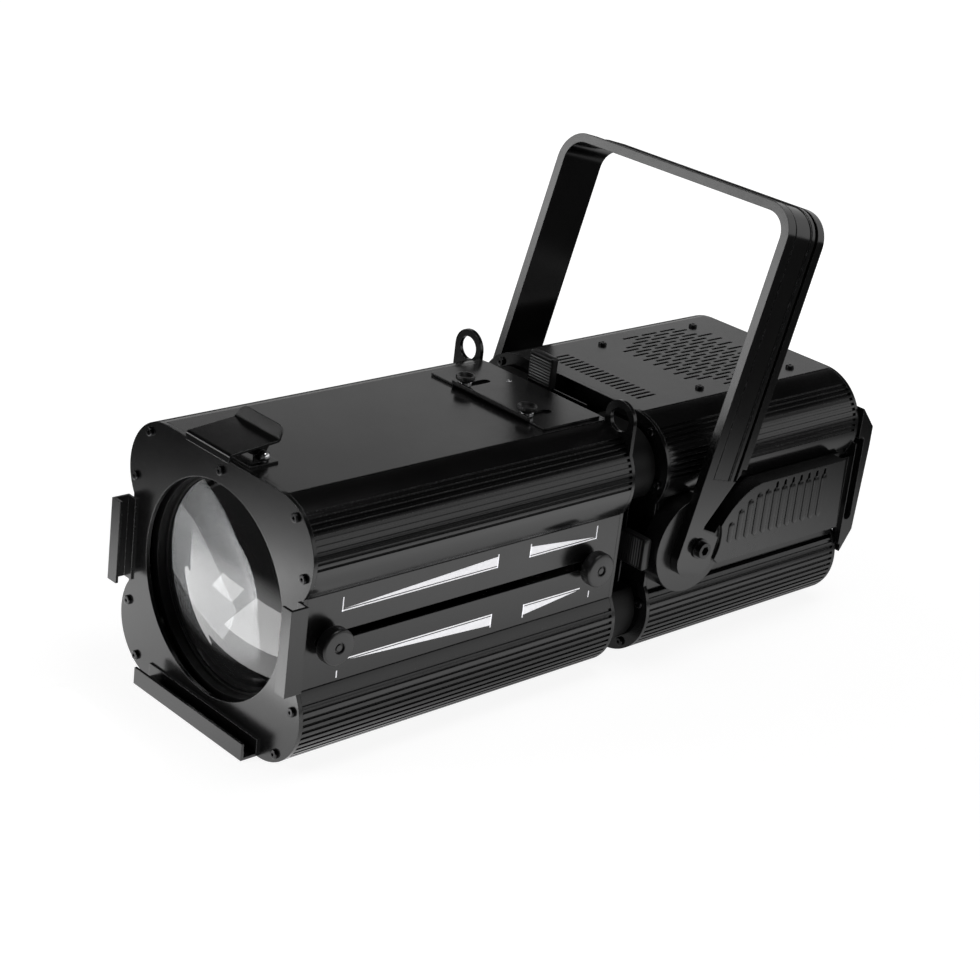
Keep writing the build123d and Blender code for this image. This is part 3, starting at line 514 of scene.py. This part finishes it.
def thumb_screw(index, spot, top):
    """Knurled dished head and plain neck on a bright threaded stem; returns the stem."""
    r = THUMB_HEAD_R
    foot = top - THUMB_HEAD_HIGH
    centre = Vector((spot[0], spot[1], 0))
    outline = [(0, foot), (4.4 * MM, foot), (r - 1.2 * MM, foot + 0.6 * MM)]
    outline += [(r, foot + 1.8 * MM), (r, top - 0.7 * MM), (r - 0.5 * MM, top)]
    outline += [(r - 1.2 * MM, top), (r - 1.9 * MM, top - 0.8 * MM), (4.2 * MM, top - 1.9 * MM)]
    outline += [(0, top - 2.1 * MM)]

    def knurl(turn, k):
        return 1 - 0.035 * (0.5 + 0.5 * cos(30 * turn)) if k in (3, 4) else 1

    bm = bmesh.new()
    lathe(bm, outline, centre, (0, 0, 1), 180, knurl)
    piece(bm, f"thumb_head_{index}", "knob_plastic", "barrel")

    bm = bmesh.new()
    thread(bm, centre, 3.0 * MM, cover_top - 2 * MM, foot + 0.4 * MM, 0.9 * MM, 0.45 * MM)
    stem = piece(bm, f"thumb_stem_{index}", "bright_steel", "barrel", 60)

    bm = bmesh.new()
    neck = [(0, foot - 3.2 * MM), (4.4 * MM, foot - 3.2 * MM), (4.8 * MM, foot - 2.8 * MM)]
    neck += [(4.8 * MM, foot - 0.6 * MM), (4.2 * MM, foot), (0, foot)]
    lathe(bm, neck, centre, (0, 0, 1), 48)
    piece(bm, f"thumb_neck_{index}", "bright_steel", "barrel")
    return stem


screw_low, screw_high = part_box("thumb_screws")
screw_y = (screw_low.y + screw_high.y) / 2
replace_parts(thumb_screw(1, (screw_low.x + THUMB_HEAD_R, screw_y), screw_high.z), "thumb_screws")
thumb_screw(2, (screw_high.x - THUMB_HEAD_R, screw_y), screw_high.z)


# === domed rivet and hinge pins ================================================================
def dome(name, spot, normal, radius, rise, body):
    """Low domed bright head standing on a face."""
    sunk = 0.2 * MM
    flank = 0.15
    arc_steps = 8
    outline = [(0, -sunk), (radius, -sunk), (radius, flank * rise)]
    for step in range(1, arc_steps + 1):
        turn = pi / 2 * step / arc_steps
        outline.append((radius * cos(turn), rise * (flank + (1 - flank) * sin(turn))))
    bm = bmesh.new()
    lathe(bm, outline, Vector(spot), normal, 32)
    piece(bm, name, "bright_steel", body)


plate_top = low("access_plate").z + 1.6 * MM
dome("access_rivet", (-19 * MM, 0.5 * MM, plate_top), (0, 0, 1), 1.7 * MM, 0.8 * MM, "access_plate")
latch_hinge = joints["latch_lift"]["pos_m"]
for side, ear_x in ((1, high("latch_bracket").x), (-1, low("latch_bracket").x)):
    end = "right" if side > 0 else "left"
    spot = (ear_x - side * 0.1 * MM, latch_hinge[1], latch_hinge[2])
    dome(f"latch_pin_head_{end}", spot, (side, 0, 0), 3.4 * MM, 2.4 * MM, "barrel")


# === framing shutters ==========================================================================
GRIP_LONG = 27 * MM
GRIP_HALF = 12 * MM
GRIP_ASIDE = {"top": -18 * MM}
OUTWARD = {"top": (0, 1), "bottom": (0, -1), "left": (-1, 0), "right": (1, 0)}


def grip_rows(thick_half):
    """Rows of a grip from its tip: (distance, half width, half thickness, depth of the cross rib)."""
    step = 0.45 * MM
    corner = 1.6 * MM
    nose = 0.9 * MM
    rib_pitch = 2.2 * MM
    rib_start = 2.4 * MM
    rows = []
    for row in range(int(GRIP_LONG / step) + 1):
        v = row * step
        half = GRIP_HALF
        if v < corner:
            half = GRIP_HALF - corner + sqrt(max(corner**2 - (corner - v) ** 2, 0))
        thick = thick_half
        if v < nose:
            thick *= 0.8 + 0.2 * sqrt(max(1 - (1 - v / nose) ** 2, 0))
        dip = 0
        if rib_start < v < GRIP_LONG - 2.6 * MM:
            dip = 0.7 * MM * (0.5 - 0.5 * cos(2 * pi * (v - rib_start) / rib_pitch)) ** 0.6
        rows.append((v, half, thick, dip))
    return rows


def shutter(where):
    """Thin blade with a rounded grip ribbed across on both faces."""
    name = f"shutter_{where}"
    lo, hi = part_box(name)
    out = OUTWARD[where]
    size = max(hi.x - lo.x, hi.z - lo.z)
    tip_x = {1: hi.x, -1: lo.x, 0: 0}[out[0]]
    tip_z = {1: hi.z, -1: lo.z, 0: axis_z}[out[1]]
    y_mid = (lo.y + hi.y) / 2
    aside = GRIP_ASIDE.get(where, 0)

    def place(u, v, w):
        """u across the blade, v inwards from the tip, w along the lamp."""
        across_x, across_z = u * abs(out[1]), u * abs(out[0])
        return Vector((tip_x + across_x - v * out[0], y_mid + w, tip_z + across_z - v * out[1]))

    bm = bmesh.new()
    half, root = 30 * MM, GRIP_LONG - 4 * MM
    prism(bm, [(-half, root), (-half, size), (half, size), (half, root)], place, (-0.6 * MM, 0.6 * MM))
    piece(bm, name + "_blade", "screw_black", name)

    bm = bmesh.new()
    rings = []
    bevel = 1.1 * MM
    land = 2 * MM
    crown = 0.2 * MM
    for v, half, thick, dip in grip_rows((hi.y - lo.y) / 2):
        outline = [(-half, 0), (-half, thick - bevel), (-half + bevel, thick - crown)]
        outline += [(-half + land, thick - dip), (half - land, thick - dip)]
        outline += [(half - bevel, thick - crown), (half, thick - bevel), (half, 0)]
        under = [(u, -w) for u, w in reversed(outline[1:-1])]
        rings.append([bm.verts.new(place(u + aside, v, w)) for u, w in outline + under])
    close_rings(bm, rings)
    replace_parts(piece(bm, name + "_grip", "grip_plastic", name, 40), name)


for where in OUTWARD:
    shutter(where)


# === lenses ====================================================================================
def lens(node_name, body, name, bulge):
    """Smooth plano-convex lens with a fine ground chamfer round its rim."""
    clear = 0.994
    steps = 40
    lo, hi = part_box(node_name)
    radius = (hi.x - lo.x) / 2
    centre = Vector((0, 0, axis_z))
    ball = (radius**2 + bulge**2) / (2 * bulge)
    rim = lo.y + bulge
    outline = []
    for step in range(steps + 1):
        r = radius * step / steps * clear
        outline.append((r, rim - bulge + ball - sqrt(ball**2 - r**2)))
    outline += [(radius, rim + 0.6 * MM), (radius, hi.y - 0.5 * MM), (radius - 0.5 * MM, hi.y)]
    outline += [(radius * 0.5, hi.y), (0, hi.y)]
    bm = bmesh.new()
    lathe(bm, outline, centre, (0, 1, 0), 128)
    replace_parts(piece(bm, name, "lens_glass", body), node_name)


lens("front_lens", "front_carriage", "front_lens_glass", 13 * MM)
lens("rear_lens", "rear_carriage", "rear_lens_glass", 12 * MM)


def retaining_ring():
    """Thin spring ring that holds the front lens in its seat."""
    rim = high("front_lens").y - 6 * MM
    foot = rim - 1.1 * MM
    inner, outer = 73.0 * MM, 74.7 * MM
    bm = bmesh.new()
    outline = [(inner, foot), (outer, foot), (outer, rim), (inner, rim), (inner, foot)]
    lathe(bm, outline, Vector((0, 0, axis_z)), (0, 1, 0), 120)
    piece(bm, "lens_retaining_ring", "carriage_black", "front_carriage")


retaining_ring()


# === ribs of the side covers ===================================================================
RIB_COUNT = 12
RIB_START = 115.9 * MM
RIB_PITCH = 9.17 * MM
RIB_HALF = 2.7 * MM
RIB_RISE = 0.7 * MM
RIB_FOOT = -4.8 * MM


def rib_top(y):
    """Height of a rib's top above the axis: level at the rear, falling under the curved front edge."""
    return (30.6 - 0.0147 * max(0, 152 - y / MM) ** 2) * MM


def louvres(side):
    """Soft raised ribs on a side cover, with rounded ends."""
    name = "right" if side > 0 else "left"
    face = high(f"side_cover_{name}").x if side > 0 else low(f"side_cover_{name}").x
    rows, arcs = 20, 8
    bm = bmesh.new()
    for rib in range(RIB_COUNT):
        y_mid = RIB_START + RIB_PITCH * rib
        long = rib_top(y_mid) - RIB_FOOT
        z_mid = axis_z + (rib_top(y_mid) + RIB_FOOT) / 2
        rings = []
        for row in range(rows + 1):
            along = (2 * row / rows - 1) * long / 2
            z = z_mid + along
            to_end = (long / 2 - abs(along)) / RIB_HALF
            narrow = sqrt(max(1 - max(1 - to_end, 0) ** 2, 0.02))
            ring = []
            for arc in range(arcs + 1):
                turn = pi * arc / arcs
                x = face + side * RIB_RISE * narrow * sin(turn)
                ring.append(bm.verts.new((x, y_mid - RIB_HALF * narrow * cos(turn), z)))
            for sign in (1, -1):
                ring.append(bm.verts.new((face - side * 0.6 * MM, y_mid + sign * RIB_HALF * narrow, z)))
            rings.append(ring)
        close_rings(bm, rings)
    piece(bm, f"louvres_{name}", "cover_plastic", "lamp_house", 50)


for side in (1, -1):
    louvres(side)


# === top latch ==================================================================================
LATCH_CLIMB = 3.0 * MM
TAB_HIGH = 9.7 * MM
TAB_RISE = radians(59)
TAB_REACH = 8.6 * MM
TAB_STEPS = 14
BEND_STEPS = 6


def bent_sheet(bm, path, half, thick):
    """Sheet bent along a path of (y, z) points; half(k) is its half width at point k."""
    rings = []
    for k, spot in enumerate(path):
        before = Vector(path[max(k - 1, 0)])
        after = Vector(path[min(k + 1, len(path) - 1)])
        along = (after - before).normalized()
        normal = Vector((-along.y, along.x)) * thick / 2
        corners = []
        for x, sign in ((-half(k), 1), (half(k), 1), (half(k), -1), (-half(k), -1)):
            y, z = Vector(spot) + normal * sign
            corners.append(bm.verts.new((x, y, z)))
        rings.append(corners)
    close_rings(bm, rings)


def tab_along(step):
    """Distance up the thumb tab at a step, closer together towards its rounded tip."""
    return TAB_REACH * sin(pi / 2 * step / TAB_STEPS)


def latch():
    """Bent latch plate: front lip, top that climbs to the rear, rounded thumb tab and two hinge ears."""
    lo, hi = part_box("latch")
    thick = 1.6 * MM
    top = hi.z - TAB_HIGH - LATCH_CLIMB - thick / 2
    front = lo.y + thick / 2
    fold = hi.y - 8.6 * MM
    lip_bend, tab_bend = 1.8 * MM, 2.4 * MM
    path = [(front, top - 5.2 * MM), (front, top - lip_bend)]
    for step in range(1, BEND_STEPS + 1):
        turn = pi / 2 * step / BEND_STEPS
        path.append((front + lip_bend * (1 - cos(turn)), top - lip_bend + lip_bend * sin(turn)))
    path.append((fold, top + LATCH_CLIMB))
    for step in range(1, BEND_STEPS + 1):
        turn = TAB_RISE * step / BEND_STEPS
        path.append((fold + tab_bend * sin(turn), top + LATCH_CLIMB + tab_bend * (1 - cos(turn))))
    foot = Vector(path[-1])
    tab_start = len(path)
    for step in range(1, TAB_STEPS + 1):
        path.append((foot.x + tab_along(step) * cos(TAB_RISE), foot.y + tab_along(step) * sin(TAB_RISE)))

    def half(k):
        if k < tab_start:
            return hi.x - (1.0 * MM if k == 0 else 0)
        along = tab_along(k - tab_start + 1)
        corner = 4.5 * MM
        into = max(corner - (TAB_REACH - along), 0)
        taper = 2.2 * MM * along / TAB_REACH
        return hi.x - taper - (corner - sqrt(max(corner**2 - into**2, 0)))

    bm = bmesh.new()
    bent_sheet(bm, path, half, thick)
    hinge_y, hinge_z = latch_hinge[1:]
    ear_r = 4.2 * MM
    outline = [(hinge_y - 17 * MM, top + 0.9 * MM), (hinge_y - ear_r, hinge_z)]
    ear_steps = 12
    for step in range(1, ear_steps):
        turn = pi + pi * step / ear_steps
        outline.append((hinge_y + ear_r * cos(turn), hinge_z + ear_r * sin(turn)))
    outline += [(hinge_y + ear_r, hinge_z), (fold, top + LATCH_CLIMB - 0.2 * MM)]
    for side in (1, -1):

        def ear(y, z, w, side=side):
            return Vector((side * (17.0 * MM + w), y, z))

        prism(bm, outline, ear, (0, 1.5 * MM))
    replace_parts(piece(bm, "latch_plate", "housing_paint", "latch", 40), "latch")


latch()


# === cooling fan ================================================================================
FAN_BLADES = 7
HUB_R = 17 * MM


def fan_blade(bm, centre, z_mid, start):
    """One swept and twisted blade of lens-shaped section, from the hub outwards."""
    rows, cols = 9, 8
    grid = {}
    for row in range(rows + 1):
        reach = row / rows
        radius = (16.6 + 28 * reach) * MM
        sweep = start + 0.55 * reach
        pitch = radians(42 - 16 * reach)
        chord = (15 + 4 * reach) * MM
        for col in range(cols + 1):
            t = col / cols - 0.5
            camber = 1.6 * MM * (1 - 4 * t * t)
            turn = sweep + (t * chord * cos(pitch) - camber * sin(pitch)) / radius
            z = z_mid + t * chord * sin(pitch) + camber * cos(pitch)
            thick = 0.6 * MM * (1 - 3 * t * t)
            for layer, shift in ((0, thick), (1, -thick)):
                x, y = centre.x + radius * cos(turn), centre.y + radius * sin(turn)
                grid[row, col, layer] = bm.verts.new((x, y, z + shift))

    def wall(one, two):
        bm.faces.new((grid[*one, 0], grid[*two, 0], grid[*two, 1], grid[*one, 1]))

    for row in range(rows):
        for col in range(cols):
            for layer in (0, 1):
                around = ((row, col), (row, col + 1), (row + 1, col + 1), (row + 1, col))
                bm.faces.new([grid[r, c, layer] for r, c in around])
    for row in range(rows):
        for col in (0, cols):
            wall((row, col), (row + 1, col))
    for col in range(cols):
        for row in (0, rows):
            wall((row, col), (row, col + 1))


def fan():
    """Hub cap with its ring of blades."""
    lo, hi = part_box("fan_rotor")
    hub = joints["fan_spin"]["pos_m"]
    centre = Vector((hub[0], hub[1], 0))
    bore = 2.6 * MM
    cap = [(0, lo.z + 6 * MM), (bore, lo.z + 6 * MM), (bore, lo.z), (HUB_R - 0.6 * MM, lo.z)]
    cap += [(HUB_R, lo.z + 0.6 * MM), (HUB_R, hi.z - 2 * MM), (HUB_R - 1 * MM, hi.z - 0.5 * MM)]
    cap += [(HUB_R - 2.4 * MM, hi.z), (2.0 * MM, hi.z), (0, hi.z)]
    bm = bmesh.new()
    lathe(bm, cap, centre, (0, 0, 1), 64)
    for blade in range(FAN_BLADES):
        fan_blade(bm, centre, (lo.z + hi.z) / 2, 2 * pi * blade / FAN_BLADES)
    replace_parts(piece(bm, "fan_blades", "fan_plastic", "fan"), "fan_rotor")


fan()


# === rear panel =================================================================================
# (x0, x1, z0, z1) of each bar from the middle of the display, in mm
BARS = (
    (-23, 2, 3.2, 5.6),
    (-23, -15, -1.2, 0.8),
    (-12, 8, -1.2, 0.8),
    (-23, -15, -5.4, -3.4),
    (-12, 1, -5.4, -3.4),
    (14, 23, -5.4, 5.6),
)
ARROWS = (pi, -pi / 2, pi / 2, 0)
INLET_PINS = ((33.5, -47), (40, -42), (46.5, -47))
SOCKETS = (-50, -15)


def on_rear(x, z, y):
    return Vector((x, y, z))


def triangle(x, z, radius, turn):
    """Corners of an equal-sided triangle whose first corner points to turn."""
    angles = [turn + 2 * pi * corner / 3 for corner in range(3)]
    return [(x + radius * cos(angle), z + radius * sin(angle)) for angle in angles]


def box_outline(x0, x1, z0, z1):
    return [(x0, z0), (x1, z0), (x1, z1), (x0, z1)]


def display_bars():
    """Plain glowing bars behind the display window, seen the right way round from the rear."""
    window = high("display").y - 0.8 * MM
    middle_z = axis_z + 50 * MM
    bm = bmesh.new()
    for x0, x1, z0, z1 in BARS:
        outline = box_outline(-x0 * MM, -x1 * MM, middle_z + z0 * MM, middle_z + z1 * MM)
        prism(bm, outline, on_rear, (window, window + 0.12 * MM))
    glowing = lit("display_glow", (0.35, 0.75, 1.0, 1), 1.6)
    piece(bm, "display_bars", "display_window", "lamp_house", material=glowing)


def button_arrows():
    for number, turn in enumerate(ARROWS, start=1):
        button = f"button_{number}"
        centre = middle(button)
        face = high(button).y
        bm = bmesh.new()
        prism(bm, triangle(centre.x, centre.z, 2.1 * MM, turn), on_rear, (face, face + 0.08 * MM))
        piece(bm, f"button_arrow_{number}", "button_plastic", button, material=ink)


def brass_contacts():
    """Three flat blades in the mains inlet and three round pins in each data socket."""
    face = low("lamp_rear_plate").y + 3 * MM
    blade_x, blade_z = 0.9 * MM, 2.2 * MM
    bm = bmesh.new()
    for x, z in INLET_PINS:
        x, z = x * MM, axis_z + z * MM
        outline = box_outline(x - blade_x, x + blade_x, z - blade_z, z + blade_z)
        prism(bm, outline, on_rear, (face - 15.4 * MM, face - 2.4 * MM))
    pin_r = 1.3 * MM
    pin = [(0, face - 11.6 * MM), (pin_r, face - 11.6 * MM), (pin_r, face - 2.2 * MM)]
    pin += [(pin_r - 0.5 * MM, face - 1.6 * MM), (0, face - 1.5 * MM)]
    for socket in SOCKETS:
        for x, z in triangle(socket * MM, axis_z - 45 * MM, 5 * MM, pi / 2):
            lathe(bm, pin, (x, 0, z), (0, 1, 0), 24)
    piece(bm, "brass_contacts", "socket_plastic", "lamp_house", material=brass)


display_bars()
button_arrows()
brass_contacts()


# === floor, light and camera ===================================================================
WHITE = (1, 1, 1, 1)
FLOOR_SEEN = 0.90  # own light of the floor near the lamp, as the camera sees it
FLOOR_SIDE = 1.5  # light that the floor beside the lamp throws on it
FLOOR_HOT = 1.35  # light from the floor in front of the lens
FLOOR_FAR = 0.05
HOT_SPOT = (-0.09, -0.34, 0.0)
SIDE_SPOT = (0.06, -0.02, 0.0)
ROOM_BAND = (0.60, 1.0)  # brightness of the low band behind the lamp, left and right
ROOM_FRONT = 0.05
ROOM_DARK = 0.01
BAND_TOP = (0.38, 0.46)  # height at which the band fades, as the sine of its elevation
CARD_LIFT = 0.001


def glow(tree, where, centre, near, far, strength):
    """Radiance that fades smoothly with distance from a point on the floor."""
    gap = put(tree, "ShaderNodeVectorMath", {0: where, 1: centre}, operation="DISTANCE").outputs["Value"]
    inputs = {"Value": gap, "From Min": near, "From Max": far, "To Min": strength, "To Max": 0.0}
    made = put(tree, "ShaderNodeMapRange", inputs, interpolation_type="SMOOTHERSTEP")
    return made.outputs["Result"]


def pale_floor():
    """Near-white floor; what it throws on the lamp is set apart from what the camera sees of it."""
    bpy.ops.mesh.primitive_circle_add(vertices=96, radius=14, fill_type="NGON", location=(0, 0, -0.0005))
    floor = bpy.context.object
    floor.name = "studio_floor"
    material, tree, where, shader, out = start_material("pale_floor")
    uneven = noise(tree, where, 1.5, 2, 0.5)
    base = blend_colour(tree, uneven, (0.30, 0.30, 0.30, 1), (0.33, 0.33, 0.33, 1))
    away = put(tree, "ShaderNodeVectorMath", {0: where}, operation="LENGTH").outputs["Value"]
    own = span(tree, away, 0.35, 1.0, FLOOR_SEEN, 1.05)
    wire(tree, shader, Base_Color=base, Roughness=0.7, Specular_IOR_Level=0.0)
    wire(tree, shader, Emission_Color=WHITE, Emission_Strength=own)
    parts = put(tree, "ShaderNodeSeparateXYZ", {"Vector": where})
    aside = put(tree, "ShaderNodeMath", {0: parts.outputs["X"]}, operation="ABSOLUTE").outputs[0]
    under_lamp = span(tree, aside, 0.09, 0.26, 0.22, 1.0)
    side_glow = calculate(tree, glow(tree, where, SIDE_SPOT, 0.22, 0.72, FLOOR_SIDE), under_lamp, "MULTIPLY")
    hot_glow = glow(tree, where, HOT_SPOT, 0.05, 0.36, FLOOR_HOT)
    cast = calculate(tree, calculate(tree, side_glow, hot_glow), FLOOR_FAR)
    lit_floor = put(tree, "ShaderNodeEmission", {"Color": WHITE, "Strength": cast})
    seen = put(tree, "ShaderNodeLightPath").outputs["Is Camera Ray"]
    mixed = put(tree, "ShaderNodeMixShader", {0: seen, 1: lit_floor.outputs[0], 2: shader.outputs["BSDF"]})
    tree.links.new(mixed.outputs[0], out.inputs["Surface"])
    floor.data.materials.append(material)


def white_room():
    """White room that lights the lamp only from a low band behind it."""
    world = bpy.data.worlds.new("white_room")
    bpy.context.scene.world = world
    world.use_nodes = True
    tree = world.node_tree
    tree.nodes.clear()
    direction = put(tree, "ShaderNodeTexCoord").outputs["Generated"]
    aim = put(tree, "ShaderNodeSeparateXYZ", {"Vector": direction})
    band = span(tree, aim.outputs["Z"], BAND_TOP[0], BAND_TOP[1], 1.0, 0.0)
    behind = span(tree, aim.outputs["Y"], -0.1, 0.35, ROOM_FRONT, 1.0)
    sideways = span(tree, aim.outputs["X"], -0.4, 0.55, ROOM_BAND[0], ROOM_BAND[1])
    level = calculate(tree, calculate(tree, band, behind, "MULTIPLY"), sideways, "MULTIPLY")
    level = calculate(tree, level, ROOM_DARK)
    ray = put(tree, "ShaderNodeLightPath").outputs["Is Camera Ray"]
    seen = put(tree, "ShaderNodeBackground", {"Color": WHITE, "Strength": 1.0})
    room = put(tree, "ShaderNodeBackground", {"Color": WHITE, "Strength": level})
    mixed = put(tree, "ShaderNodeMixShader", {0: ray, 1: room.outputs[0], 2: seen.outputs[0]})
    put(tree, "ShaderNodeOutputWorld", {"Surface": mixed.outputs[0]})


def card(name, corners, strength):
    """Flat glowing reflector given by its four corners."""
    mesh = bpy.data.meshes.new(name)
    mesh.from_pydata(corners, [], [(0, 1, 2, 3)])
    made = bpy.data.objects.new(name, mesh)
    bpy.context.scene.collection.objects.link(made)
    material, tree, where, _, out = start_material(name)
    even = span(tree, noise(tree, where, 6, 3, 0.5), 0.3, 0.7, 0.75 * strength, strength)
    face = put(tree, "ShaderNodeEmission", {"Color": WHITE, "Strength": even})
    tree.links.new(face.outputs[0], out.inputs["Surface"])
    mesh.materials.append(material)


def floor_card(name, corners, strength):
    """Reflector lying on the floor, given by the (x, y) of its corners."""
    card(name, [(x, y, CARD_LIFT) for x, y in corners], strength)


def softbox(name, place, aim, width, height, power):
    """Rectangular area light at a place, facing a point."""
    light = bpy.data.lights.new(name, "AREA")
    light.shape = "RECTANGLE"
    light.size = width
    light.size_y = height
    light.energy = power
    made = bpy.data.objects.new(name, light)
    bpy.context.scene.collection.objects.link(made)
    made.location = place
    made.rotation_mode = "QUATERNION"
    made.rotation_quaternion = (Vector(aim) - Vector(place)).to_track_quat("-Z", "Y")


def camera():
    """Long lens from the front right, slightly above, with the photographer's small roll."""
    azimuth, elevation, roll = radians(45.05), radians(20.41), radians(6.98)
    data = bpy.data.cameras.new("camera")
    data.sensor_width = 36
    data.lens = 83.1
    data.shift_x = -0.0097
    data.shift_y = -0.0867
    data.clip_start = 0.01
    data.clip_end = 60
    made = bpy.data.objects.new("camera", data)
    bpy.context.scene.collection.objects.link(made)
    back = Vector((sin(azimuth) * cos(elevation), -cos(azimuth) * cos(elevation), sin(elevation)))
    right = (-back).cross(Vector((0, 0, 1))).normalized()
    up = right.cross(-back)
    turned_right = cos(roll) * right + sin(roll) * up
    turned_up = -sin(roll) * right + cos(roll) * up
    place = Matrix((turned_right, turned_up, back)).transposed().to_4x4()
    place.translation = Vector((1.0620, -1.0859, 0.7399))
    made.matrix_world = place
    bpy.context.scene.camera = made


pale_floor()
white_room()
softbox("overhead", place=(0.3, 0.2, 1.9), aim=(0.0, 0.0, 0.1), width=0.9, height=0.9, power=9)
floor_card("low_card", [(-0.085, -0.47), (0.02, -0.46), (0.035, -0.33), (-0.075, -0.325)], 5)
floor_card("left_card", [(-0.20, -0.45), (-0.125, -0.47), (-0.105, -0.39), (-0.165, -0.375)], 4.5)
card("tall_card", [(-0.62, -1.6, 0.22), (-0.30, -1.68, 0.22), (-0.30, -1.68, 1.05), (-0.62, -1.6, 1.05)], 6)
softbox("front_left", place=(-1.3, -1.5, 0.56), aim=(0, -0.1, 0.45), width=1.0, height=0.42, power=6)
camera()
bpy.context.scene.view_settings.view_transform = "Standard"
